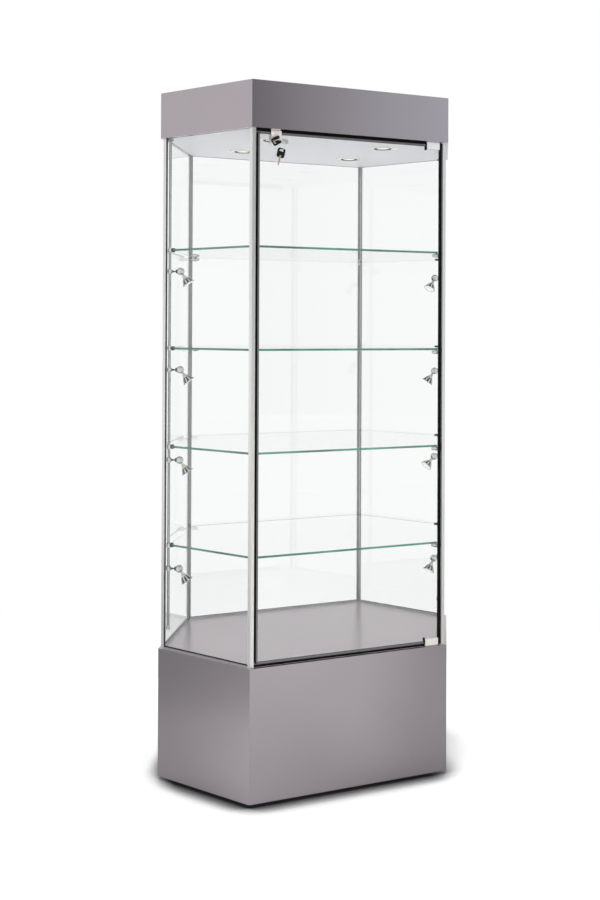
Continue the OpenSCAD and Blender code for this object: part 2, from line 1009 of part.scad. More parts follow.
// The slot takes the lock's cam when it turns up
module ceiling() {
    sweep = norm([cam_len, cam_w / 2]);
    rise = ceiling_z - plug_z;
    color([0.85, 0.85, 0.86])
        difference() {
            hex_plate(board_t, ceiling_z, board_t);
            at_downlights()
                translate([0, 0, -cut])
                    cylinder(d = can_d + 2 * near, h = board_t + 2 * cut);
            span(
                [plug_x - cam_w / 2 - 1.5, plug_back - 1.5, ceiling_z - cut],
                [plug_x + sqrt(sweep * sweep - rise * rise) + 1.5, plug_back + cam_t + 1.5, plug_z + sweep + 1]
            );
        }
}

gland_x = 150;
gland_d = 16;

module top_board() {
    z = overall_h - top_recess - top_t;
    color(silver)
        difference() {
            hex_plate(board_t, z, top_t);
            translate([gland_x, 0, z - cut])
                cylinder(d = gland_d + 2 * near, h = top_t + 2 * cut);
        }
}

// A dished ring below the ceiling and the housing above it
module downlight_bezels() {
    lip = light_d / 2;
    can = can_d / 2;
    can_h = 45;
    color("white")
        at_downlights()
            rotate_extrude()
                polygon([
                    [bezel_d / 2, 0], [bezel_d / 2, -0.8], [bezel_d / 2 - 4.5, -2.6],
                    [lip + 3.5, -3.2], [lip, -2], [lip, 2], [can - 1.5, 2],
                    [can - 1.5, can_h], [can, can_h], [can, 0]
                ]);
}

// Reflector lamps that rest on the inner lips
module downlight_lamps() {
    lip = light_d / 2;
    color(ceramic)
        at_downlights()
            rotate_extrude()
                polygon([
                    [0, 2], [lip + 2.5, 2], [lip + 2.5, 4], [lip - 1, 6],
                    [lip - 4, light_l * 0.38], [lip - 10, light_l * 0.64],
                    [9, light_l * 0.81], [9, light_l], [0, light_l]
                ]);
}

module light_driver() {
    color("white")
        span(
            [-driver_l / 2, -driver_w / 2, ceiling_z + board_t],
            [driver_l / 2, driver_w / 2, ceiling_z + board_t + driver_h]
        );
}

// A cable gland in the top board, below the canopy's rim
module cable_gland() {
    z = overall_h - top_recess;
    nut_h = 5;
    color(black)
        translate([gland_x, 0, 0])
            difference() {
                union() {
                    translate([0, 0, z])
                        cylinder(d = gland_d + 8, h = nut_h, $fn = 6);
                    translate([0, 0, z + nut_h - cut])
                        cylinder(d1 = gland_d + 2, d2 = gland_d - 2, h = 7);
                    translate([0, 0, z - top_t])
                        cylinder(d = gland_d, h = top_t + cut);
                    translate([0, 0, z - top_t - nut_h])
                        cylinder(d = gland_d + 8, h = nut_h, $fn = 6);
                }
                translate([0, 0, z - top_t - nut_h - cut])
                    cylinder(d = gland_d - 8, h = top_t + 4 * nut_h);
            }
}

plinth_front();
plinth_boards();
plinth_base();
deck();
foot_sockets();
foot(1);  // foot_1
foot(2);  // foot_2
foot(3);  // foot_3
foot(4);  // foot_4
post(0, false, true);  // post_front_right
post(1, true, true);  // post_right
post(2, true, true);  // post_rear_right
post(3, true, true);  // post_rear_left
post(4, true, true);  // post_left
post(5, true, false);  // post_front_left
fixed_glass(1);  // glass_front_right
fixed_glass(2);  // glass_rear_right
fixed_glass(3);  // glass_rear
fixed_glass(4);  // glass_rear_left
fixed_glass(5);  // glass_front_left
glazing_channels();
glazing_gaskets();
door_glass();
door_seal();
door_hinges();
pivot_plates();
lock_case();
lock_plug();
lock_cam();
key_blade();
key_bow();
key_ring();
spare_bow();
spare_blade();
shelf(1);  // shelf_1
shelf(2);  // shelf_2
shelf(3);  // shelf_3
shelf(4);  // shelf_4
shelf_pegs();
rod_clamps();
clamp_jaws();
rod(-1);  // rod_left
rod(1);  // rod_right
spot_arms();
spot(1);  // spot_1
spot(2);  // spot_2
spot(3);  // spot_3
spot(4);  // spot_4
spot(5);  // spot_5
spot(6);  // spot_6
spot(7);  // spot_7
spot(8);  // spot_8
canopy_board(0);  // canopy_front
canopy_boards();
ceiling();
top_board();
downlight_bezels();
downlight_lamps();
light_driver();
cable_gland();
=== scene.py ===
import json
import math

import bmesh
import bpy
from mathutils import Matrix, Vector


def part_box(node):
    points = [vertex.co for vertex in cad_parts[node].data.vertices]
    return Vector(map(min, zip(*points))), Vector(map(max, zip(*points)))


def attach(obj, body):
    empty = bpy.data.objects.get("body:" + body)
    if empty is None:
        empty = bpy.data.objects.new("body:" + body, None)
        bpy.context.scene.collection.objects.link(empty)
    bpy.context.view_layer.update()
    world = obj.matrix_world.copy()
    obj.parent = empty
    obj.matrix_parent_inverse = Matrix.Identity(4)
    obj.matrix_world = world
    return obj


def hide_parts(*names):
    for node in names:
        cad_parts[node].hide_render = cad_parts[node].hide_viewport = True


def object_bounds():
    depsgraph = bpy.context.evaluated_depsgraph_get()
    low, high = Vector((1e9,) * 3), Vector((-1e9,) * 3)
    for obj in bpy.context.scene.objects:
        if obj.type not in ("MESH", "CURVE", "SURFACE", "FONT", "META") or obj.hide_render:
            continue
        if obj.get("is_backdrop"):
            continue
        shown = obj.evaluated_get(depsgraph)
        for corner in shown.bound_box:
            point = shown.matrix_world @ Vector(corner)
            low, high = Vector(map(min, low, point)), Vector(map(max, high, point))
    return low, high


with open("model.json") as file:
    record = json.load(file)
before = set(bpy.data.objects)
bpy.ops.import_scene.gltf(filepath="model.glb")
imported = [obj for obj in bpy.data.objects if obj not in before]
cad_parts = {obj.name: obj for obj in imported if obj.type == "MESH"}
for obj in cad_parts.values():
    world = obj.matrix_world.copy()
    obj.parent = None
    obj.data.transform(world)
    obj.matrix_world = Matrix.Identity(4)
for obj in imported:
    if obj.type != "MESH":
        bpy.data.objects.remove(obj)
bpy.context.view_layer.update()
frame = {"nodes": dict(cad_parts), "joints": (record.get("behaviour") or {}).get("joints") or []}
cad = frame["nodes"]

# ---- Camera ----
# Stands 3.5 m away, to the left of the door, at about two thirds of the case's height.
# A long lens keeps the posts upright; the frame is lowered by a shift, not by a tilt.

camera = bpy.data.objects.new("camera", bpy.data.cameras.new("camera"))
bpy.context.scene.collection.objects.link(camera)
bpy.context.scene.camera = camera
turn, lift, bank = math.radians(24.133), math.radians(0.393), math.radians(0.244)
ahead = Vector(
    (math.sin(turn) * math.cos(lift), math.cos(turn) * math.cos(lift), math.sin(lift))
)
level = Vector((math.cos(turn), -math.sin(turn), 0))
upward = level.cross(ahead)
across = level * math.cos(bank) + upward * math.sin(bank)
upward = upward * math.cos(bank) - level * math.sin(bank)
view_turn = Matrix((across, upward, -ahead)).transposed()
eye = (-1.3806, -3.1862, 1.3045)
camera.matrix_world = Matrix.Translation(eye) @ view_turn.to_4x4()
frame_wide, frame_tall = 600, 900
axis_x, axis_y = 325.6, 319.7  # where the lens's axis meets the frame, from its top left
camera.data.lens = 45.33
camera.data.sensor_width = 36
camera.data.shift_x = (frame_wide / 2 - axis_x) / frame_tall
camera.data.shift_y = (axis_y - frame_tall / 2) / frame_tall
camera.data.clip_end = 60

# ---- Studio ----
# A white room: a pale floor that keeps the case's contact shadow, a broad lamp overhead,
# a weak one on each side, a low one in front, and one on the ground behind that lights
# the ceiling board. The lamps are out of sight: metal mirrors the bays of the room's
# walls and the tones of a carpet instead.

scene = bpy.context.scene
scene.view_settings.view_transform = "Standard"


def step(tree, kind, links=(), **settings):
    """One node of a tree with its settings and the values that feed its sockets."""
    node = tree.nodes.new(kind)
    for key, value in settings.items():
        setattr(node, key, value)
    for socket, source in links:
        if isinstance(source, bpy.types.NodeSocket):
            tree.links.new(source, node.inputs[socket])
        else:
            node.inputs[socket].default_value = source
    return node


def calc(tree, operation, *numbers):
    """One arithmetic step of a tree."""
    return step(
        tree, "ShaderNodeMath", enumerate(numbers), operation=operation
    ).outputs[0]


def ranged(tree, number, span, goal=(0.0, 1.0), kind="LINEAR"):
    """The number moved from one span to another, and held at the ends."""
    links = [("Value", number), ("From Min", span[0]), ("From Max", span[1])]
    links += [("To Min", goal[0]), ("To Max", goal[1])]
    return step(tree, "ShaderNodeMapRange", links, interpolation_type=kind).outputs[0]


def ramp(tree, number, stops):
    """Colours along a number, with stops given as (position, colour)."""
    node = step(tree, "ShaderNodeValToRGB", [(0, number)])
    elements = node.color_ramp.elements
    while len(elements) < len(stops):
        elements.new(0.5)
    for stop, (part, colour) in zip(elements, stops):
        stop.position = part
        stop.color = colour
    return node.outputs[0]


def mixed_shaders(tree, share, first, second):
    """Two shaders, of which the second has the share given."""
    return step(
        tree, "ShaderNodeMixShader", [(0, share), (1, first), (2, second)]
    ).outputs[0]


floor_mesh = bpy.data.meshes.new("floor")
shape = bmesh.new()
bmesh.ops.create_circle(shape, cap_ends=True, segments=96, radius=14)
shape.to_mesh(floor_mesh)
shape.free()
floor = bpy.data.objects.new("floor", floor_mesh)
scene.collection.objects.link(floor)
floor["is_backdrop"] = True

# The floor where it is seen: white, with a painted contact shadow close under the plinth's
# edges, made from an occlusion node and thinned near the side corners
floor_paint = bpy.data.materials.new("studio_floor")
floor_paint.use_nodes = True
tree = floor_paint.node_tree
tree.nodes.clear()
closeness = step(tree, "ShaderNodeAmbientOcclusion", [("Distance", 0.08)], samples=12)
evened = ranged(tree, closeness.outputs["AO"], (0.46, 0.9), (0.2, 1.0))
contact = calc(tree, "POWER", evened, 2.7)
spot_at = step(tree, "ShaderNodeTexCoord").outputs["Object"]
sideways = step(tree, "ShaderNodeSeparateXYZ", [(0, spot_at)]).outputs["X"]
# Thins the painted contact shadow beside the case's side corners
for corner_span in ((0.25, 0.42), (-0.44, -0.52)):
    beside = ranged(tree, sideways, corner_span, (0.0, 0.8), "SMOOTHSTEP")
    contact = step(
        tree, "ShaderNodeMix", [("Factor", beside), ("A", contact), ("B", 1.0)]
    ).outputs[0]
paint = step(
    tree, "ShaderNodeMix",
    [("Factor", contact), ("A", (0.02, 0.02, 0.02, 1)), ("B", (0.9, 0.9, 0.9, 1))],
    data_type="RGBA",
).outputs["Result"]
shaded = step(tree, "ShaderNodeBsdfDiffuse", [("Color", paint)]).outputs[0]
near_light = calc(tree, "MULTIPLY", contact, 0.40)
near_glow = step(tree, "ShaderNodeEmission", [("Strength", near_light)]).outputs[0]
brighter = step(tree, "ShaderNodeAddShader", [(0, shaded), (1, near_glow)]).outputs[0]

# The floor where it is mirrored: a carpet, dimmed along two directions
tones = [
    (0.0, 0.50), (0.09, 0.56), (0.19, 0.62), (0.26, 0.90), (0.37, 1.0),
    (0.43, 0.86), (0.50, 0.80), (0.56, 0.88), (0.70, 0.88), (0.83, 0.64),
]
dimmed = 0.68
carpet = ramp(
    tree, ranged(tree, sideways, (-2.0, 2.0)),
    [(part, (tone, tone, tone, 1)) for part, tone in tones],
)
for slant, span in (((1, 0.56, 0), (-0.25, 0.12)), ((0.21, 1, 0), (-0.42, -0.10))):
    along = step(
        tree, "ShaderNodeVectorMath", [(0, spot_at), (1, slant)], operation="DOT_PRODUCT"
    )
    dimming = ranged(tree, along.outputs["Value"], span, (1.0, dimmed), "SMOOTHSTEP")
    carpet = step(
        tree, "ShaderNodeVectorMath", [(0, carpet), ("Scale", dimming)], operation="SCALE"
    ).outputs[0]
matt = step(tree, "ShaderNodeBsdfDiffuse", [("Color", carpet)]).outputs[0]

# Further out the floor fades into plain white
far_glow = step(tree, "ShaderNodeEmission").outputs[0]
reach = step(tree, "ShaderNodeVectorMath", [(0, spot_at)], operation="LENGTH")
fade = ranged(tree, reach.outputs["Value"], (0.7, 2.2), kind="SMOOTHSTEP")
late_fade = ranged(tree, reach.outputs["Value"], (2.4, 5.0), kind="SMOOTHSTEP")
ray = step(tree, "ShaderNodeLightPath").outputs
seen = calc(tree, "MAXIMUM", ray["Is Camera Ray"], ray["Is Transmission Ray"])
near = mixed_shaders(tree, seen, matt, brighter)
far_seen = calc(tree, "MULTIPLY", fade, seen)
far = calc(tree, "MULTIPLY_ADD", late_fade, ray["Is Glossy Ray"], far_seen)
floor_look = mixed_shaders(tree, far, near, far_glow)
step(tree, "ShaderNodeOutputMaterial", [("Surface", floor_look)])
floor.data.materials.append(floor_paint)

# The room's walls: white and dark bays at (bearing, brightness, warmth)
shades = [
    (0.0, 0.95, 1), (0.08, 0.80, 1), (0.18, 0.25, 1), (0.23, 0.0, 1), (0.303, 0.0, 1),
    (0.322, 0.70, 0.97), (0.338, 1.0, 0.84), (0.42, 1.0, 0.95), (0.438, 0.05, 1),
    (0.482, 0.05, 1), (0.50, 1.0, 1), (0.73, 1.0, 1), (0.745, 0.12, 1), (0.80, 0.12, 1),
    (0.815, 1.0, 1), (0.86, 1.0, 1), (0.875, 0.05, 1), (0.93, 0.05, 1),
    (0.945, 0.95, 1), (1.0, 0.95, 1),
]
sky = bpy.data.worlds.new("studio")
sky.use_nodes = True
scene.world = sky
tree = sky.node_tree
tree.nodes.clear()
where = step(tree, "ShaderNodeTexCoord").outputs["Generated"]
bearing = step(tree, "ShaderNodeTexGradient", [("Vector", where)], gradient_type="RADIAL")
walls = ramp(
    tree, bearing.outputs["Fac"],
    [
        (part, (shade * warmth, shade * (0.5 + 0.5 * warmth), shade, 1))
        for part, shade, warmth in shades
    ],
)
upwards = step(tree, "ShaderNodeSeparateXYZ", [(0, where)]).outputs["Z"]
overhead = ranged(tree, upwards, (0.35, 0.75))
room = step(
    tree, "ShaderNodeMix",
    [("Factor", overhead), ("A", walls), ("B", (0.9, 0.9, 0.9, 1))],
    data_type="RGBA",
).outputs["Result"]
white = (1, 1, 1, 1)
lit_sky = step(tree, "ShaderNodeBackground", [("Color", room), ("Strength", 0.62)])
mirror_sky = step(tree, "ShaderNodeBackground", [("Color", room)])
seen_sky = step(tree, "ShaderNodeBackground", [("Color", white)])
ray = step(tree, "ShaderNodeLightPath").outputs
seen = calc(tree, "MAXIMUM", ray["Is Camera Ray"], ray["Is Transmission Ray"])
mirrored = mixed_shaders(
    tree, ray["Is Glossy Ray"], lit_sky.outputs[0], mirror_sky.outputs[0]
)
sky_look = mixed_shaders(tree, seen, mirrored, seen_sky.outputs[0])
step(tree, "ShaderNodeOutputWorld", [("Surface", sky_look)])


def soft_lamp(name, place, aim, size, watts):
    """A rectangular lamp that is turned to its aim and can't be seen or mirrored."""
    lamp = bpy.data.lights.new(name, "AREA")
    lamp.shape = "RECTANGLE"
    lamp.size, lamp.size_y = size
    lamp.energy = watts
    holder = bpy.data.objects.new(name, lamp)
    holder.visible_camera = False
    holder.visible_glossy = False
    holder.visible_transmission = False
    scene.collection.objects.link(holder)
    towards = (Vector(aim) - Vector(place)).to_track_quat("-Z", "Y")
    holder.matrix_world = Matrix.Translation(place) @ towards.to_matrix().to_4x4()


soft_lamp("overhead_lamp", (0, -0.4, 4.4), (0, -0.2, 0), (3.4, 3.4), 85)
soft_lamp("left_lamp", (-3.9, 1.0, 2.8), (-0.4, -0.1, 1.7), (1.6, 0.8), 5)
soft_lamp("right_lamp", (2.9, -4.0, 2.9), (0.3, -0.3, 1.7), (1.6, 0.6), 8)
soft_lamp("low_lamp", (-0.6, -3.3, 0.35), (0, 0, 1.7), (2.4, 0.5), 52)
soft_lamp("ground_lamp", (0.0, 1.0, 0.04), (0, 0.05, 1.85), (1.4, 0.5), 26)

# ---- Plinth and canopy boards ----
# Board faced with a silver-grey laminate that has a satin metallic sheen and very fine
# flecks. The six boards of each box are mitred and glued at the corners.


def srgb(red, green=None, blue=None):
    """A colour, or one grey tone, written as it looks and turned into reflected light."""

    def light(c):
        return c / 12.92 if c <= 0.04045 else ((c + 0.055) / 1.055) ** 2.4

    if green is None:
        green = blue = red
    return (light(red), light(green), light(blue), 1.0)


def new_finish(name):
    """A bare material: itself, its tree, its main shader and its object coordinates."""
    mat = bpy.data.materials.new(name)
    mat.use_nodes = True
    tree = mat.node_tree
    tree.nodes.clear()
    shader = step(tree, "ShaderNodeBsdfPrincipled")
    step(tree, "ShaderNodeOutputMaterial", [("Surface", shader.outputs[0])])
    return mat, tree, shader, step(tree, "ShaderNodeTexCoord").outputs["Object"]


def grain(tree, place, stretch, scale, detail=4.0):
    """Noise that is stretched along the axes given, as a number from 0 to 1."""
    turned = step(tree, "ShaderNodeMapping", [("Vector", place), ("Scale", stretch)])
    return step(
        tree, "ShaderNodeTexNoise",
        [("Vector", turned.outputs[0]), ("Scale", scale), ("Detail", detail)],
    ).outputs["Fac"]


def coat(tree, shader, number, colours, rough, span=(0.3, 0.7)):
    """Colour from dark to light over the number's span, and roughness with it."""
    colour = ramp(tree, number, list(zip(span, colours)))
    tree.links.new(colour, shader.inputs["Base Color"])
    tree.links.new(ranged(tree, number, (0, 1), rough), shader.inputs["Roughness"])


def relief(tree, number, shader, height, strength=0.3):
    """Bumps on the shader from a number, with a height in metres."""
    links = [("Height", number), ("Strength", strength), ("Distance", height)]
    bump = step(tree, "ShaderNodeBump", links)
    tree.links.new(bump.outputs[0], shader.inputs["Normal"])


def laminate(name, dark, light, metal, rough):
    """Decor paper under a clear coat: fine flecks on a faint large cloud."""
    mat, tree, shader, place = new_finish(name)
    fibre = grain(tree, place, (1, 1, 1), 650, 2)
    cloud = ranged(tree, grain(tree, place, (1, 1, 1), 3.5, 2), (0, 1), (0.0, 0.65))
    flecked = calc(tree, "MULTIPLY_ADD", fibre, 0.35, cloud)
    colour = ramp(tree, flecked, [(0.25, dark), (0.75, light)])
    dull = ranged(tree, fibre, (0, 1), (rough - 0.05, rough + 0.06))
    tree.links.new(colour, shader.inputs["Base Color"])
    tree.links.new(dull, shader.inputs["Roughness"])
    shader.inputs["Metallic"].default_value = metal
    relief(tree, fibre, shader, 0.000015, 0.1)
    return mat


def wear(node, *finishes):
    """Gives a CAD node its finishes in the order of its material slots."""
    slots = cad[node].data.materials
    slots.clear()
    for finish in finishes:
        slots.append(finish)


silver = laminate(
    "silver_laminate", srgb(0.69, 0.66, 0.68), srgb(0.72, 0.69, 0.71), 0.9, 0.21
)
for node in ("plinth_front", "plinth_boards", "plinth_base"):
    wear(node, silver)
for node in ("canopy_front", "canopy_boards", "top_board"):
    wear(node, silver)

# ---- Deck and ceiling ----
# The showcase's floor has the plinth's laminate a shade lighter; the ceiling board
# is pale grey, so that it spreads the light of the lamps.

wear("deck", laminate(
    "deck_laminate", srgb(0.73, 0.685, 0.71), srgb(0.76, 0.715, 0.74), 0.2, 0.25
))
wear("ceiling", laminate(
    "ceiling_laminate", srgb(0.92, 0.91, 0.93), srgb(0.945, 0.93, 0.95), 0.0, 0.45
))

# ---- Levelling feet ----
# Zinc-plated screws with a hexagon for a spanner, in flanged bushes, on black pads.


def bare_metal(name, dark, light, rough, stretch, scale, edge=1.0, metal=1.0):
    """Metal with fine lines along one axis and a little variation of its polish."""
    mat, tree, shader, place = new_finish(name)
    lines = grain(tree, place, stretch, scale, 5)
    coat(tree, shader, lines, (dark, light), (rough * 0.75, rough * 1.3))
    shader.inputs["Metallic"].default_value = metal
    shader.inputs["Specular Tint"].default_value = (edge, edge, edge, 1)
    relief(tree, lines, shader, 0.00001, 0.2)
    return mat


def dull_black(name, tone, rough, size, shine=0.35):
    """Rubber or moulded plastic with a fine even texture."""
    mat, tree, shader, place = new_finish(name)
    specks = grain(tree, place, (1, 1, 1), size, 3)
    colours = (srgb(tone * 0.88), srgb(tone * 1.14))
    coat(tree, shader, specks, colours, (rough - 0.06, rough + 0.08))
    shader.inputs["Specular IOR Level"].default_value = shine
    relief(tree, specks, shader, 0.00004, 0.3)
    return mat


even = (1, 1, 1)
zinc = bare_metal(
    "zinc_plate", srgb(0.62, 0.63, 0.64), srgb(0.75, 0.75, 0.74), 0.3, even, 220
)
pad_rubber = dull_black("pad_rubber", 0.08, 0.6, 900)
foot_x, foot_y, pad_top, stem_reach = 0.25, 0.23, 0.0059, 0.0075
wear("foot_sockets", zinc)
for number in range(1, 5):
    node = f"foot_{number}"
    wear(node, zinc, pad_rubber)
    for face in cad[node].data.polygons:
        away = Vector((abs(face.center.x) - foot_x, abs(face.center.y) - foot_y, 0))
        if face.center.z < pad_top and away.length > stem_reach:
            face.material_index = 1

# ---- Posts and channels ----
# Extruded aluminium, satin anodised, with faint drawing lines along each length. The
# rear posts' inner faces, which see the dark end of the room, and the glazing channels
# get darker copies of the aluminium as painted shade, darkest where they face the front.

upright = (1, 1, 0.02)
drawn = bare_metal(
    "satin_aluminium", srgb(0.93, 0.925, 0.915), srgb(0.975, 0.97, 0.96), 0.36, upright,
    1500, metal=0.95,
)
# Darker copies of the aluminium, as painted shade
shaded_aluminium = bare_metal(
    "aluminium_painted_shade", srgb(0.76, 0.765, 0.76), srgb(0.82, 0.825, 0.82), 0.3, upright,
    1500,
)
deeper_shaded_aluminium = bare_metal(
    "aluminium_deeper_painted_shade", srgb(0.56, 0.57, 0.565), srgb(0.62, 0.63, 0.625), 0.3, upright,
    1500,
)
faces_front = -0.9
for corner in ("front_right", "right", "left", "front_left"):
    wear(f"post_{corner}", drawn)
for corner in ("rear_right", "rear_left"):
    node = f"post_{corner}"
    wear(node, drawn, shaded_aluminium, deeper_shaded_aluminium)
    for face in cad[node].data.polygons:
        inward = Vector((-face.center.x, -face.center.y, 0))
        if face.normal.dot(inward) > 0:
            # Inner faces that look to the front get the darkest painted shade
            face.material_index = 2 if face.normal.y < faces_front else 1
# The channels get the aluminium's painted-shade copy too
wear("glazing_channels", shaded_aluminium)

# ---- Fixed glass ----
# Clear float glass, 6 mm thick. Its polished edges gather the glass's green.


def let_light_through(tree, shader, tint):
    """Lamps shine straight through the glass instead of being lost in it."""
    out = next(n for n in tree.nodes if n.type == "OUTPUT_MATERIAL")
    clear = step(tree, "ShaderNodeBsdfTransparent", [("Color", tint)]).outputs[0]
    ray = step(tree, "ShaderNodeLightPath").outputs["Is Shadow Ray"]
    glass_look = mixed_shaders(tree, ray, shader.outputs[0], clear)
    tree.links.new(glass_look, out.inputs["Surface"])


pane_glass, tree, shader, place = new_finish("float_glass")
shader.inputs["Base Color"].default_value = (0.972, 0.979, 0.978, 1)
shader.inputs["Roughness"].default_value = 0.0
shader.inputs["IOR"].default_value = 1.5
shader.inputs["Transmission Weight"].default_value = 1.0
let_light_through(tree, shader, (0.95, 0.97, 0.96, 1))

edge_glass, tree, shader, place = new_finish("glass_edge")
greens = (srgb(0.12, 0.40, 0.33), srgb(0.32, 0.60, 0.52))
coat(tree, shader, grain(tree, place, (1, 1, 3), 9, 3), greens, (0.06, 0.16), (0.35, 0.7))
shader.inputs["Specular IOR Level"].default_value = 0.6


def glaze(node, facing):
    """Clear faces on the two large sides of a pane and green on all its edges."""
    side_on = 0.7
    wear(node, pane_glass, edge_glass)
    for face in cad[node].data.polygons:
        if abs(face.normal.dot(facing)) < side_on:
            face.material_index = 1


for side, degrees in (
    ("front_right", -30), ("rear_right", 30), ("rear", 90), ("rear_left", 150),
    ("front_left", 210),
):
    angle = math.radians(degrees)
    glaze(f"glass_{side}", Vector((math.cos(angle), math.sin(angle), 0)))

# ---- Glazing strips ----
# Rubber strips pushed in beside the glass from the inside: black ones, and grey ones
# at the rear pane, where they show through the case.

strip_rubber = dull_black("strip_rubber", 0.05, 0.5, 700, 0.2)
rear_rubber = dull_black("rear_strip_rubber", 0.62, 0.5, 700, 0.2)
rear_part = 0.15
wear("glazing_gaskets", strip_rubber, rear_rubber)
for face in cad["glazing_gaskets"].data.polygons:
    if face.center.y > rear_part:
        face.material_index = 1

# ---- Door ----
# One sheet of glass with a black rubber seal on its edges: a legged strip that grips
# the glass, a round bead that fills the gap and, on three edges, a lip in front whose
# paler grey is partly the rubber's tone and partly painted sheen.
# Two blocks slide over the glass edge, are held by grub screws, and turn on pins.

seal_rubber = dull_black("seal_rubber", 0.03, 0.5, 800, 0.12)
# The lip's paler grey is partly painted sheen
lip_rubber_painted_sheen = dull_black("lip_rubber_painted_sheen", 0.42, 0.4, 800, 0.2)
glaze("door_glass", Vector((0, 1, 0)))
glass_low, glass_high = [Vector(corner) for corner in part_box("door_glass")]
door_y = (glass_low.y + glass_high.y) / 2


def finished(name, shape, finishes):
    """Makes a piece of a bmesh, smooth but for its sharp edges."""
    sharp = math.radians(35)
    bmesh.ops.remove_doubles(shape, verts=shape.verts, dist=1e-6)
    bmesh.ops.recalc_face_normals(shape, faces=shape.faces)
    mesh = bpy.data.meshes.new(name)
    shape.to_mesh(mesh)
    shape.free()
    for finish in finishes:
        mesh.materials.append(finish)
    mesh.shade_smooth()
    mesh.set_sharp_from_angle(angle=sharp)
    piece = bpy.data.objects.new(name, mesh)
    scene.collection.objects.link(piece)
    return piece


def arc(x, y, radius, degrees):
    """Points round (x, y), one for each angle given."""
    angles = [math.radians(each) for each in degrees]
    return [(x + radius * math.cos(a), y + radius * math.sin(a)) for a in angles]


def joined_rings(shape, ring, next_ring):
    """The faces between two closed rings of vertices."""
    faces = []
    for first in range(len(ring)):
        after = (first + 1) % len(ring)
        corners = (ring[first], ring[after], next_ring[after], next_ring[first])
        faces.append(shape.faces.new(corners))
    return faces


def seal_strip(shape, edge, outward, start, end, leg, bead, lip, flap=0.0):
    """A length of seal on a glass edge: its section is drawn outward and to the rear."""
    grip, skin, thick, bulb = 0.003, 0.0038, 0.0043, 0.002
    tip, base, foot, heel = -leg, 0.0013, 0.0006, 0.0036
    section = [(tip, -grip), (tip, -skin), (tip + lip, -skin), (tip + lip, -thick)]
    if flap:
        section += [(bead - 0.0010, -thick), (bead - 0.0008, -thick - flap)]
        section += [(bead, -thick - flap)]
    else:
        section += [(foot, -thick), (base, -heel), (base, -bulb)]
    section += arc(bead - bulb, 0, bulb, range(-90, 91, 20))
    section += [(base, bulb), (base, heel), (foot, thick), (tip, thick)]
    section += [(tip, grip), (0, grip), (0, -grip)]
    rings = []
    for along in (start, end):
        ring = []
        for out_by, back_by in section:
            if outward.x:
                corner = (edge + outward.x * out_by, door_y + back_by, along)
            else:
                corner = (along, door_y + back_by, edge + outward.z * out_by)
            ring.append(shape.verts.new(corner))
        rings.append(ring)
    for number, face in enumerate(joined_rings(shape, *rings)):
        # The lip's front faces take the paler rubber with its painted sheen
        face.material_index = 1 if lip and number < 3 else 0
    shape.faces.new(rings[0][::-1])
    shape.faces.new(rings[1])


seal_low, seal_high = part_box("door_seal")
hinge_left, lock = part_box("door_hinges")[0][0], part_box("lock_case")
leg, short_leg, hinge_leg = 0.007, 0.006, 0.018
slim_bead, wide_bead = 0.0044, 0.0066
side_lip, cross_lip, top_flap = 0.0052, 0.0055, 0.005
touch, overlap = 0.0001, 0.003
rightward, leftward = Vector((1, 0, 0)), Vector((-1, 0, 0))
shape = bmesh.new()
seal_strip(
    shape, glass_high.x, rightward, seal_low[2], seal_high[2], short_leg, slim_bead, 0
)
seal_strip(
    shape, glass_low.x, leftward, glass_low.z + leg - overlap,
    glass_high.z - leg + overlap, leg, slim_bead, side_lip,
)
outer, hinge_start = glass_low.x - slim_bead, hinge_left - 0.004
for side, edge, flap, runs in (
    (-1, glass_low.z, 0.0, [(outer, hinge_start)]),
    (
        1, glass_high.z, top_flap,
        [(outer, lock[0][0] - touch), (lock[1][0] + touch, hinge_start)],
    ),
):
    way = Vector((0, 0, side))
    for start, end in runs:
        seal_strip(shape, edge, way, start, end, leg, wide_bead, cross_lip, flap)
    seal_strip(
        shape, edge, way, hinge_start, hinge_left - touch, hinge_leg, wide_bead, 0
    )
seal = finished("door_seal_strips", shape, [seal_rubber, lip_rubber_painted_sheen])
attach(seal, "door")
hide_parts("door_seal")

chrome = bare_metal(
    "chrome_plate", srgb(0.76, 0.775, 0.77), srgb(0.82, 0.83, 0.825), 0.08, even, 60,
    edge=0.05,
)
block_chrome = bare_metal(
    "block_chrome", srgb(0.99, 0.965, 0.955), srgb(1.0, 0.98, 0.97), 0.3, even, 90,
    edge=0.8, metal=0.6,
)
wear("door_hinges", block_chrome)
wear("pivot_plates", chrome)


def new_tree(name, **sizes):
    """A Geometry Nodes tree with named sizes: whole numbers, lengths and a finish."""
    tree = bpy.data.node_groups.new(name, "GeometryNodeTree")
    sockets = tree.interface.new_socket
    sockets("Geometry", in_out="INPUT", socket_type="NodeSocketGeometry")
    for label, kind in sizes.items():
        sockets(label, in_out="INPUT", socket_type=f"NodeSocket{kind}")
    sockets("Geometry", in_out="OUTPUT", socket_type="NodeSocketGeometry")
    return tree, tree.nodes.new("NodeGroupInput"), tree.nodes.new("NodeGroupOutput")


def grown(name, seed, tree, **sizes):
    """The plain mesh that a tree makes from a seed mesh, as an object at the origin."""
    piece = bpy.data.objects.new(name, seed)
    scene.collection.objects.link(piece)
    grower = piece.modifiers.new("grower", "NODES")
    grower.node_group = tree
    for socket in tree.interface.items_tree:
        if socket.in_out == "INPUT" and socket.name in sizes:
            grower[socket.identifier] = sizes[socket.name]
    ready = piece.evaluated_get(bpy.context.evaluated_depsgraph_get())
    mesh = bpy.data.meshes.new_from_object(ready)
    piece.modifiers.clear()
    piece.data = mesh
    mesh.name = name
    return piece


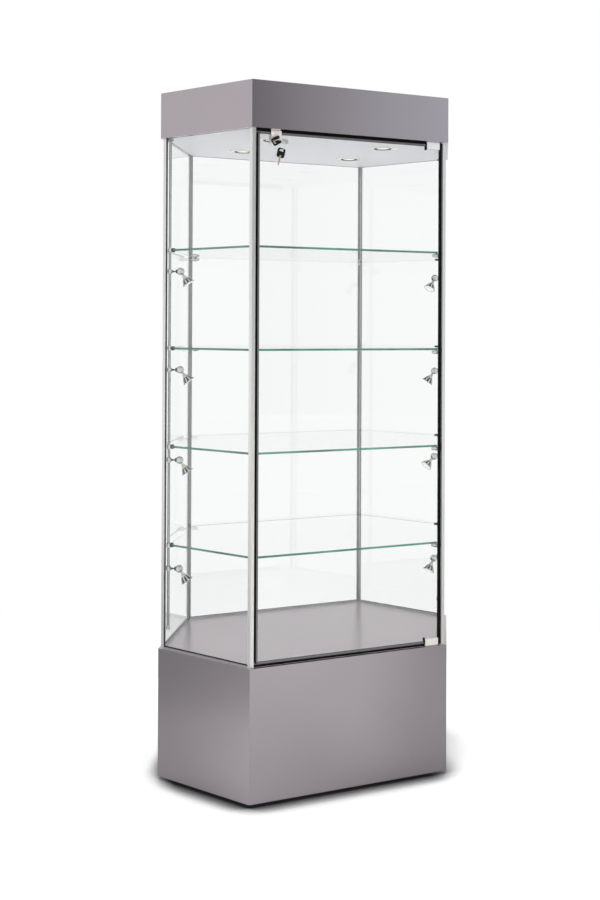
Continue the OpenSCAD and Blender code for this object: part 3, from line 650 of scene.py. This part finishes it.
# A grub screw: a short round body with a socket sunk into its end
screw_tree, given, result = new_tree(
    "grub_screws", Radius="Float", Height="Float", Finish="Material"
)
disc = step(
    screw_tree, "GeometryNodeMeshCircle",
    [("Vertices", 18), ("Radius", given.outputs["Radius"])], fill_type="NGON",
)
body = step(
    screw_tree, "GeometryNodeExtrudeMesh",
    [("Mesh", disc.outputs[0]), ("Offset Scale", given.outputs["Height"])],
)
inset = step(
    screw_tree, "GeometryNodeExtrudeMesh",
    [
        ("Mesh", body.outputs["Mesh"]), ("Selection", body.outputs["Top"]),
        ("Offset Scale", 0.0),
    ],
)
socket_top = inset.outputs["Top"]
socket = step(
    screw_tree, "GeometryNodeScaleElements",
    [("Geometry", inset.outputs["Mesh"]), ("Selection", socket_top), ("Scale", 0.5)],
)
sink = calc(screw_tree, "MULTIPLY", given.outputs["Height"], -0.6)
sunk = step(
    screw_tree, "GeometryNodeExtrudeMesh",
    [("Mesh", socket.outputs[0]), ("Selection", socket_top), ("Offset Scale", sink)],
)
facing = step(
    screw_tree, "GeometryNodeInputNamedAttribute", [("Name", "facing")],
    data_type="FLOAT_VECTOR",
)
turned_to = step(
    screw_tree, "FunctionNodeAlignRotationToVector",
    [("Vector", facing.outputs["Attribute"])], axis="Z",
)
placed = step(
    screw_tree, "GeometryNodeInstanceOnPoints",
    [
        ("Points", given.outputs["Geometry"]), ("Instance", sunk.outputs["Mesh"]),
        ("Rotation", turned_to.outputs[0]),
    ],
)


def hand_over(tree, geometry, given, result):
    """The tree's result: real geometry in the finish that was asked for."""
    real = step(tree, "GeometryNodeRealizeInstances", [("Geometry", geometry)])
    coated = step(
        tree, "GeometryNodeSetMaterial",
        [("Geometry", real.outputs[0]), ("Material", given.outputs["Finish"])],
    )
    tree.links.new(coated.outputs[0], result.inputs[0])


hand_over(screw_tree, placed.outputs[0], given, result)
dark_steel = bare_metal(
    "screw_steel", srgb(0.46, 0.46, 0.47), srgb(0.60, 0.60, 0.61), 0.3, even, 500
)


def screws(name, rider, spots, radius, height, finish=dark_steel):
    """Screws at the spots given as (place, direction), riding on one body."""
    seed = bpy.data.meshes.new(name)
    seed.from_pydata([spot[0] for spot in spots], [], [])
    ways = seed.attributes.new("facing", "FLOAT_VECTOR", "POINT")
    for number, spot in enumerate(spots):
        ways.data[number].vector = spot[1]
    piece = grown(name, seed, screw_tree, Radius=radius, Height=height, Finish=finish)
    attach(piece, rider)
    return piece


rearward = (0, 1, 0)
grub_radius, screw_inset = 0.0022, 0.0085
low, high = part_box("door_hinges")
for end, z in (("top", high[2] - screw_inset), ("bottom", low[2] + screw_inset)):
    spots = [
        ((low[0] + share * (high[0] - low[0]), high[1], z), rearward)
        for share in (0.25, 0.6)
    ]
    screws(f"hinge_screws_{end}", "door", spots, grub_radius, 0.0005)

# ---- Lock and keys ----
# A nickel-plated lock clamps the glass. Its key and the spare have folding black bows
# with an arched hole; their brass blades are cut, and both hang on one split ring.

nickel = bare_metal(
    "lock_nickel", srgb(0.95, 0.91, 0.88), srgb(0.98, 0.94, 0.92), 0.42, even, 300,
    metal=0.25,
)
brass = bare_metal(
    "key_brass", srgb(0.88, 0.76, 0.62), srgb(0.94, 0.84, 0.71), 0.35, (1, 1, 6), 400
)
bow_plastic = dull_black("bow_plastic", 0.05, 0.4, 1200)
cam_zinc = bare_metal(
    "cam_zinc", srgb(0.70, 0.70, 0.71), srgb(0.75, 0.75, 0.76), 0.4, even, 250, metal=0.3
)
for node in ("lock_case", "lock_plug"):
    wear(node, nickel)
wear("lock_cam", cam_zinc)
low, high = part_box("lock_case")
screws(
    "lock_screws", "door",
    [
        ((high[0] - 0.006, high[1], high[2] - 0.008), rearward),
        ((low[0] + 0.006, high[1], low[2] + 0.006), rearward),
    ],
    grub_radius, 0.0004,
)

pivots = {j["name"]: Vector(j["pos_m"]) for j in frame["joints"] if "pos_m" in j}


def plane_turn(degrees):
    """A frame whose X points along the angle in the door's plane, and Y to the rear."""
    angle = math.radians(degrees)
    along = Vector((math.cos(angle), 0, math.sin(angle)))
    to_rear = Vector(rearward)
    return Matrix((along, to_rear, along.cross(to_rear))).transposed().to_4x4()


def slab(shape, outline, depth, place):
    """A closed plate from a flat outline in its XY, of the depth given, centred in Z."""
    back, front = [
        [shape.verts.new(place @ Vector((x, y, z))) for x, y in outline]
        for z in (-depth / 2, depth / 2)
    ]
    shape.faces.new(back[::-1])
    shape.faces.new(front)
    joined_rings(shape, back, front)


def key_blade(name, node, rider, place):
    """A blade along Y: knuckle, shoulder, a row of cuts on one edge and a blunt point."""
    shoulder, edge, tip = 0.0025, 0.0021, 0.0265
    first_cut, pitch, flank, floor_end = 0.0225, 0.0026, 0.0009, 0.0015
    outline = arc(0, 0, shoulder, range(180, 361, 20))
    outline += [(shoulder, 0.007), (edge, 0.008), (edge, 0.0235)]
    outline += [(0.0009, tip), (-0.0005, tip), (-0.0014, 0.0245)]
    for number, depth in enumerate((0.0008, 0.0013, 0.0006, 0.0011, 0.0005)):
        y = first_cut - number * pitch
        outline += [(-edge, y), (depth - edge, y - flank), (depth - edge, y - floor_end)]
    outline += [(-edge, 0.008), (-shoulder, 0.007)]
    shape = bmesh.new()
    edge_on = Matrix(((0, 0, 1), (0, 1, 0), (-1, 0, 0))).to_4x4()
    slab(shape, outline, 0.0021, place @ edge_on)
    piece = finished(name, shape, [brass])
    soften = piece.modifiers.new("soften", "BEVEL")
    soften.width = 0.00018
    soften.segments = 2
    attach(piece, rider)
    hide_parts(node)


def key_bow(name, node, rider, place):
    """A bow with round corners, a notch for the knuckle, an arched hole and grip ribs."""
    corner, near_end, far_end, half_wide = 0.005, 0.001, 0.017, 0.006
    notch_end, half_notch, rounding = -0.004, 0.0029, 0.0006
    outer = arc(far_end, half_wide, corner, range(0, 91, 15))
    outer += arc(near_end, half_wide, corner, range(90, 181, 15))
    outer += [(notch_end, half_notch), (half_notch, half_notch)]
    outer += [(half_notch, -half_notch), (notch_end, -half_notch)]
    outer += arc(near_end, -half_wide, corner, range(180, 271, 15))
    outer += arc(far_end, -half_wide, corner, range(270, 361, 15))
    arch = arc(0.013, 0, 0.0068, range(-90, 91, 12))
    sheet = bpy.data.curves.new(name + "_outline", "CURVE")
    sheet.dimensions = "2D"
    sheet.fill_mode = "BOTH"
    for loop in (outer, arch):
        line = sheet.splines.new("POLY")
        line.points.add(len(loop) - 1)
        for point, (x, z) in zip(line.points, loop):
            point.co = (x, z, 0, 1)
        line.use_cyclic_u = True
    sheet.extrude = 0.0019
    sheet.bevel_depth = rounding
    sheet.bevel_resolution = 2
    sheet.offset = -rounding
    pattern = bpy.data.objects.new(name + "_outline", sheet)
    scene.collection.objects.link(pattern)
    flat = bpy.data.meshes.new_from_object(
        pattern.evaluated_get(bpy.context.evaluated_depsgraph_get())
    )
    bpy.data.objects.remove(pattern)
    across_bow = place @ Matrix(((1, 0, 0), (0, 0, -1), (0, 1, 0))).to_4x4()
    flat.transform(across_bow)
    shape = bmesh.new()
    shape.from_mesh(flat)
    half_rib, rib_end = 0.0005, 0.0062
    for x in (0.0052, 0.0076, 0.0100):
        near, far = x - half_rib, x + half_rib
        rib = [(near, -rib_end), (far, -rib_end), (far, rib_end), (near, rib_end)]
        for side in (-1, 1):
            on_face = Matrix.Translation((0, 0, side * 0.0025))
            slab(shape, rib, 0.0006, across_bow @ on_face)
    piece = finished(name, shape, [bow_plastic])
    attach(piece, rider)
    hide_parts(node)


lock_lean, spare_lean = 211, 257
lock_place = Matrix.Translation(pivots["bow_fold"]) @ plane_turn(lock_lean)
spare_place = Matrix.Translation(pivots["spare_fold"]) @ plane_turn(spare_lean)
key_blade("cut_blade", "key_blade", "lock_cylinder", lock_place)
key_bow("moulded_bow", "key_bow", "key_bow", lock_place)
key_blade(
    "spare_cut_blade", "spare_blade", "spare_blade",
    spare_place @ Matrix.Rotation(math.radians(-90), 4, "Z"),
)
key_bow(
    "spare_moulded_bow", "spare_bow", "spare_bow",
    spare_place @ Matrix.Diagonal((-1, 1, 1, 1)),
)

# The split ring: flat wire wound twice, with a jog where one turn passes to the other
hole, far_hole = pivots["ring_swing"], pivots["spare_swing"]
reach = far_hole - hole
ring_radius = 0.0163
rise = math.sqrt(ring_radius**2 - reach.length_squared / 4)
lean = Matrix.Rotation(math.radians(-35), 4, "X")
ring_place = (
    Matrix.Translation((hole + far_hole) / 2)
    @ plane_turn(math.degrees(math.atan2(reach.z, reach.x)))
    @ lean
    @ Matrix.Translation((0, -rise, 0))
)
turns, jog, half_gap = 4 * math.pi - 0.6, 0.5, 0.0004
wire = [(-7, -3), (-6, -3.8), (6, -3.8), (7, -3), (7, 3), (6, 3.8), (-6, 3.8), (-7, 3)]
shape = bmesh.new()
sections = []
for number in range(181):
    angle = turns * number / 180
    share = min(max((angle - 2 * math.pi + jog) / jog, 0), 1)
    shift = 2 * half_gap * (share * share * (3 - 2 * share)) - half_gap
    section = []
    for out_by, up_by in wire:
        radius, height = ring_radius + out_by * 1e-4, shift + up_by * 1e-4
        corner = Vector((radius * math.cos(angle), radius * math.sin(angle), height))
        section.append(shape.verts.new(ring_place @ corner))
    sections.append(section)
for before, behind in zip(sections, sections[1:]):
    joined_rings(shape, before, behind)
shape.faces.new(sections[0])
shape.faces.new(sections[-1][::-1])
split_ring = finished("split_ring", shape, [nickel])
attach(split_ring, "key_ring")
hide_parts("key_ring")

# ---- Shelves and their supports ----
# Glass shelves lie on chrome pegs at the posts. At the rods their cut corners sit in
# rubber jaws on chrome collars, each fixed by a grub screw from behind.

for number in range(1, 5):
    glaze(f"shelf_{number}", Vector((0, 0, 1)))
wear("shelf_pegs", chrome)
wear("rod_clamps", chrome)
wear("clamp_jaws", seal_rubber)


def on_rod(rod, height):
    """The point on a rod's axis at a height."""
    low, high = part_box(rod)
    return Vector(((low[0] + high[0]) / 2, 0, height))


collar_face, arm_face, cap_seat = 0.0059, 0.0064, 0.0002
spots = []
for number in range(1, 5):
    low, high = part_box(f"shelf_{number}")
    for side, rod in ((-1, "rod_left"), (1, "rod_right")):
        way = Vector((side * 0.5, math.sqrt(0.75), 0))
        middle = on_rod(rod, (low[2] + high[2]) / 2)
        spots.append((tuple(middle + way * collar_face), tuple(way)))
screws("clamp_screws", "cabinet", spots, 0.0016, 0.0004)

# ---- Rods and spotlight arms ----
# Polished steel rods hang from flanges and end in a small cap. Each arm is a chrome
# collar, a tapered stem with a nut, and a hollow chrome ball housing slotted for the
# neck of its lamp. The stem, the nut and the housing's inside are black as painted shade.

rod_steel = bare_metal(
    "rod_steel", srgb(0.60, 0.61, 0.61), srgb(0.69, 0.70, 0.70), 0.15, (1, 1, 0.05), 900,
    edge=0.3,
)
# Black used as painted shade on the spotlight arms
shade_black_steel = dull_black("steel_black_painted_shade", 0.11, 0.4, 600, 0.4)
wear("rod_left", rod_steel)
wear("rod_right", rod_steel)
wear("spot_arms", chrome, shade_black_steel)
spot_rods = {n: "rod_left" if n < 5 else "rod_right" for n in range(1, 9)}
bore_reach, ball_reach, stem_end, collar_reach = 0.0107, 0.0112, 0.03, 0.0075
spots = []
for number, rod in spot_rods.items():
    pivot = pivots[f"spot_{number}_tilt"]
    middle = on_rod(rod, pivot.z)
    way = (middle - pivot).normalized()
    spots.append((tuple(middle + way * arm_face), tuple(way)))
    for face in cad["spot_arms"].data.polygons:
        to_ball = face.center - pivot
        from_rod = (face.center - middle).to_2d().length
        bore = to_ball.length < bore_reach
        stem = ball_reach < to_ball.length < stem_end and from_rod > collar_reach
        # The bore and the stem take the black of painted shade
        if abs(to_ball.z) < 0.02 and (bore or stem):
            face.material_index = 1
screws("arm_screws", "cabinet", spots, 0.0018, 0.0004)

# ---- Spotlights ----
# A chrome ball and neck carry a glazed ceramic holder. The lamp in it has a fluted
# glass reflector with a mirror coat whose furrows are darkened as painted shade, a chrome
# rim and a pebbled front glass that glows.

ceramic, tree, shader, place = new_finish("holder_ceramic")
creams = (srgb(0.76, 0.76, 0.70), srgb(0.84, 0.84, 0.78))
coat(tree, shader, grain(tree, place, even, 500, 2), creams, (0.28, 0.4))

# The reflector's coat: mirror tone on the crests, near-black painted shade in the furrows
flute_coat_painted_shade, tree, shader, place = new_finish("flute_coat_painted_shade")
furrow_shade = step(tree, "ShaderNodeAttribute", attribute_name="furrow_shade").outputs["Fac"]
film = grain(tree, place, even, 400, 2)
crest = ramp(tree, film, [(0.3, srgb(0.76, 0.78, 0.78)), (0.7, srgb(0.88, 0.89, 0.88))])
flute_shading = step(
    tree, "ShaderNodeMix",
    [("Factor", furrow_shade), ("A", crest), ("B", srgb(0.07, 0.10, 0.10))], data_type="RGBA",
)
tree.links.new(flute_shading.outputs["Result"], shader.inputs["Base Color"])
tree.links.new(ranged(tree, film, (0, 1), (0.2, 0.3)), shader.inputs["Roughness"])
shader.inputs["Metallic"].default_value = 0.5
dish_mirror = bare_metal(
    "dish_mirror", srgb(0.80, 0.81, 0.80), srgb(0.90, 0.90, 0.89), 0.15, even, 400
)

lamp_front, tree, shader, place = new_finish("lamp_front")
pebble = grain(tree, place, even, 450, 1)
beads = ramp(tree, pebble, [(0.3, srgb(0.80, 0.81, 0.78)), (0.7, srgb(0.95, 0.96, 0.94))])
tree.links.new(beads, shader.inputs["Base Color"])
shader.inputs["Roughness"].default_value = 0.15
shader.inputs["Emission Color"].default_value = (1, 0.98, 0.92, 1)
shader.inputs["Emission Strength"].default_value = 0.3
relief(tree, pebble, shader, 0.0004, 0.5)

# The fluted dish: a sheet rolled round the beam, pinched in between its flutes, with
# the depth of each furrow's painted shade stored on the sheet
dish_tree, given, result = new_tree(
    "fluted_dish", Flutes="Int", Base="Float", Rim="Float", Depth="Float", Pinch="Float",
    Finish="Material",
)


sheet = step(
    dish_tree, "GeometryNodeMeshGrid",
    [("Size X", 1.0), ("Size Y", 1.0), ("Vertices X", 121), ("Vertices Y", 10)],
)
sheet_at = step(dish_tree, "GeometryNodeInputPosition").outputs[0]
parts = step(dish_tree, "ShaderNodeSeparateXYZ", [(0, sheet_at)]).outputs
asked = given.outputs
angle = calc(dish_tree, "MULTIPLY", calc(dish_tree, "ADD", parts["X"], 0.5), math.tau)
along = calc(dish_tree, "ADD", parts["Y"], 0.5)
waves = calc(dish_tree, "MULTIPLY", asked["Flutes"], 0.5)
sine = calc(dish_tree, "SINE", calc(dish_tree, "MULTIPLY", angle, waves))
groove = calc(dish_tree, "SUBTRACT", 1.0, calc(dish_tree, "ABSOLUTE", sine))
pinched = calc(dish_tree, "MULTIPLY", groove, asked["Pinch"])
pinch = calc(dish_tree, "MULTIPLY", pinched, along)
widen = calc(dish_tree, "SUBTRACT", asked["Rim"], asked["Base"])
cone = calc(dish_tree, "MULTIPLY_ADD", widen, along, asked["Base"])
radius = calc(dish_tree, "SUBTRACT", cone, pinch)
bowed = calc(dish_tree, "MULTIPLY", asked["Depth"], calc(dish_tree, "POWER", along, 1.4))
height = calc(dish_tree, "SUBTRACT", bowed, calc(dish_tree, "MULTIPLY", pinch, 0.8))
rolled = step(
    dish_tree, "ShaderNodeCombineXYZ",
    [
        ("X", calc(dish_tree, "MULTIPLY", radius, calc(dish_tree, "COSINE", angle))),
        ("Y", calc(dish_tree, "MULTIPLY", radius, calc(dish_tree, "SINE", angle))),
        ("Z", height),
    ],
)
# How dark the painted shade in the furrows is
furrow_shade_depth = calc(dish_tree, "MINIMUM", calc(dish_tree, "MULTIPLY", groove, 2.4), 1.0)
marked = step(
    dish_tree, "GeometryNodeStoreNamedAttribute",
    [("Geometry", sheet.outputs["Mesh"]), ("Name", "furrow_shade"), ("Value", furrow_shade_depth)],
    data_type="FLOAT", domain="POINT",
)
moved = step(
    dish_tree, "GeometryNodeSetPosition",
    [("Geometry", marked.outputs[0]), ("Position", rolled.outputs[0])],
)
joined = step(
    dish_tree, "GeometryNodeMergeByDistance",
    [("Geometry", moved.outputs[0]), ("Distance", 1e-6)],
)
hand_over(dish_tree, joined.outputs[0], given, result)


def turned(shape, profile, place, finish=0, sides=40):
    """Adds a closed form turned round Z from (radius, height) points in millimetres."""
    rings = []
    for radius, height in profile:
        points = arc(0, 0, radius, [360 * number / sides for number in range(sides)])
        if radius < 1e-6:
            points = points[:1]
        rings.append([
            shape.verts.new(place @ Vector((x / 1000, y / 1000, height / 1000)))
            for x, y in points
        ])
    for below, above in zip(rings, rings[1:]):
        for first in range(sides):
            after = (first + 1) % sides
            corners = [
                below[first % len(below)], below[after % len(below)],
                above[after % len(above)], above[first % len(above)],
            ]
            corners = list(dict.fromkeys(corners))
            if len(corners) > 2:
                shape.faces.new(corners).material_index = finish


rod_cap = [
    (0, 0), (3.2, 0), (4.8, 0.7), (5.6, 2.2), (5.6, 8.6), (5.2, 9.6), (4.4, 10.0),
    (4.4, 12.4), (4.0, 12.8), (0, 12.8),
]
shape = bmesh.new()
for rod in ("rod_left", "rod_right"):
    rod_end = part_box(rod)[0][2]
    turned(shape, rod_cap, Matrix.Translation(on_rod(rod, rod_end - cap_seat)), 0, 28)
caps = finished("rod_end_caps", shape, [chrome])
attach(caps, "cabinet")

# A nut locks each ball housing on its stem; it is black as painted shade
nut = [
    (2.2, 9.6), (5.4, 9.6), (5.8, 10.2), (5.8, 13.0), (5.2, 13.6), (2.2, 13.6),
    (2.2, 9.6),
]
shape = bmesh.new()
for number, rod in spot_rods.items():
    pivot = pivots[f"spot_{number}_tilt"]
    along_stem = (on_rod(rod, pivot.z) - pivot).to_track_quat("Z", "Y")
    nut_place = Matrix.Translation(pivot) @ along_stem.to_matrix().to_4x4()
    turned(shape, nut, nut_place, 0, 24)
nuts = finished("arm_nuts_painted_shade", shape, [shade_black_steel])
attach(nuts, "cabinet")

ball = arc(0, 0, 8, range(-90, 69, 8))
ball_and_neck = ball + [(3.0, 7.3), (3.0, 13.2), (0, 13.2)]
holder = [
    (0, 11.6), (3.3, 11.6), (3.8, 12.1), (3.8, 14.4), (3.5, 14.8), (3.7, 15.4),
    (4.6, 18.0), (6.4, 21.2), (7.9, 23.4), (8.3, 24.6), (8.3, 25.6), (7.7, 26.1),
    (0, 26.1),
]
capsule = [(0, 26.0), (3.4, 26.0), (3.4, 33.0), (2.6, 35.0), (0, 35.6)]
rim = [
    (16.2, 40.4), (17.4, 40.4), (18.0, 40.9), (18.0, 42.2), (17.6, 42.5), (16.2, 42.5),
    (16.2, 40.4),
]
front_glass = [
    (0, 41.2), (16.3, 41.2), (16.3, 42.0), (12.0, 42.25), (6.0, 42.4), (0, 42.45)
]
lamp_end, dish_start, dish_wall = 0.0425, 0.0254, 0.0008

for number in range(1, 9):
    node = f"spot_{number}"
    pivot = pivots[f"{node}_tilt"]
    far = [v.co for v in cad[node].data.vertices if (v.co - pivot).length > lamp_end]
    beam = (sum(far, Vector()) / len(far) - pivot).normalized()
    side = beam.cross(Vector((0, 0, 1))).normalized()
    spot_turn = Matrix((beam.cross(side), side, beam)).transposed().to_4x4()
    spot_place = Matrix.Translation(pivot) @ spot_turn
    if spot_place.determinant() < 0:
        spot_place = spot_place @ Matrix.Diagonal((-1, 1, 1, 1))
    shape = bmesh.new()
    turned(shape, ball_and_neck, spot_place, 0)
    turned(shape, holder, spot_place, 1)
    stem = finished(f"{node}_holder", shape, [chrome, ceramic])
    dish = grown(
        f"{node}_reflector", bpy.data.meshes.new("dish_seed"), dish_tree,
        Flutes=9, Base=0.0082, Rim=0.0175, Depth=0.0156, Pinch=0.0017, Finish=flute_coat_painted_shade,
    )
    dish.data.materials.append(dish_mirror)
    dish.data.transform(spot_place @ Matrix.Translation((0, 0, dish_start)))
    wall = dish.modifiers.new("wall", "SOLIDIFY")
    wall.thickness = dish_wall
    wall.offset = -1
    wall.material_offset = 1
    dish.data.shade_smooth()
    shape = bmesh.new()
    turned(shape, capsule, spot_place, 0, 24)
    turned(shape, rim, spot_place, 1)
    turned(shape, front_glass, spot_place, 0)
    lens = finished(f"{node}_lens", shape, [lamp_front, chrome])
    across_beam = spot_place.to_3x3() @ Vector((0, -1, 0)).normalized()
    holder_screw = pivot + beam * 0.0132 + across_beam * 0.0036
    screws(
        f"{node}_screw", node, [(tuple(holder_screw), tuple(across_beam))], 0.0016, 0.0009
    )
    for piece in (stem, dish, lens):
        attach(piece, node)
        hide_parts(node)

# ---- Downlights ----
# White enamelled rings pressed up under the ceiling board. Each holds a reflector lamp
# whose faceted glass rim stands a little below the ring; its facets are dark beads whose
# speckle is painted reflection.

enamel, tree, shader, place = new_finish("white_enamel")
peel = grain(tree, place, even, 350, 2)
coat(tree, shader, peel, (srgb(0.87, 0.875, 0.86), srgb(0.91, 0.915, 0.90)), (0.12, 0.2))
relief(tree, peel, shader, 0.00002, 0.1)
wear("downlight_bezels", enamel)

# Dark facets whose speckle is painted reflection
facet_painted_reflection = bare_metal(
    "facet_painted_reflection", srgb(0.14, 0.15, 0.13), srgb(0.42, 0.44, 0.39), 0.25, even, 500
)
facet_tree, given, result = new_tree(
    "lamp_facets", Count="Int", Radius="Float", Width="Float", Height="Float",
    Finish="Material",
)
asked = given.outputs
circle = step(
    facet_tree, "GeometryNodeMeshCircle",
    [("Vertices", asked["Count"]), ("Radius", asked["Radius"])],
)
bead = step(
    facet_tree, "GeometryNodeMeshUVSphere",
    [("Segments", 8), ("Rings", 5), ("Radius", 1.0)],
)
size = step(
    facet_tree, "ShaderNodeCombineXYZ",
    [("X", asked["Width"]), ("Y", asked["Width"]), ("Z", asked["Height"])],
)
placed = step(
    facet_tree, "GeometryNodeInstanceOnPoints",
    [
        ("Points", circle.outputs[0]), ("Instance", bead.outputs[0]),
        ("Scale", size.outputs[0]),
    ],
)
hand_over(facet_tree, placed.outputs[0], given, result)

ceiling_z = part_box("ceiling")[0][2]
lamp_body = [
    (0, -2.4), (9, -2.2), (18, -1.6), (22.5, -0.6), (24.6, 0.6), (25.6, 2.2), (29, 2.2),
    (29, 4), (25.5, 6), (22.5, 16), (16.5, 27), (9, 34), (9, 42), (0, 42),
]
lamp_columns, lamp_rows = (-0.18, 0.18), (-0.12, 0.12)
shape = bmesh.new()
lamp_places = [
    Matrix.Translation((x, y, ceiling_z)) for x in lamp_columns for y in lamp_rows
]
for lamp_place in lamp_places:
    turned(shape, lamp_body, lamp_place, 0, 48)
lamps = finished("downlight_lamps_detailed", shape, [lamp_front])
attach(lamps, "cabinet")
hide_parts("downlight_lamps")
for number, lamp_place in enumerate(lamp_places, 1):
    facets = grown(
        f"downlight_facets_{number}", bpy.data.meshes.new("facet_seed"), facet_tree,
        Count=22, Radius=0.0244, Width=0.0031, Height=0.0027, Finish=facet_painted_reflection,
    )
    facets.data.transform(lamp_place @ Matrix.Translation((0, 0, -0.0012)))
    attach(facets, "cabinet")

# ---- Top board, light driver and cable gland ----
# The top board is screwed down below the canopy's rim. The lamps' driver stands on the
# ceiling board under it, and its cable leaves by a black nylon gland.

wear("light_driver", enamel)
wear("cable_gland", bow_plastic)
low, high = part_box("top_board")
edge_margin = 0.012
spots = [
    ((x, y, high[2]), (0, 0, 1))
    for x, y in arc(0, 0, high[1] - edge_margin, range(30, 331, 60))
]
screws("top_screws", "cabinet", spots, 0.004, 0.0012, zinc)

low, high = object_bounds()
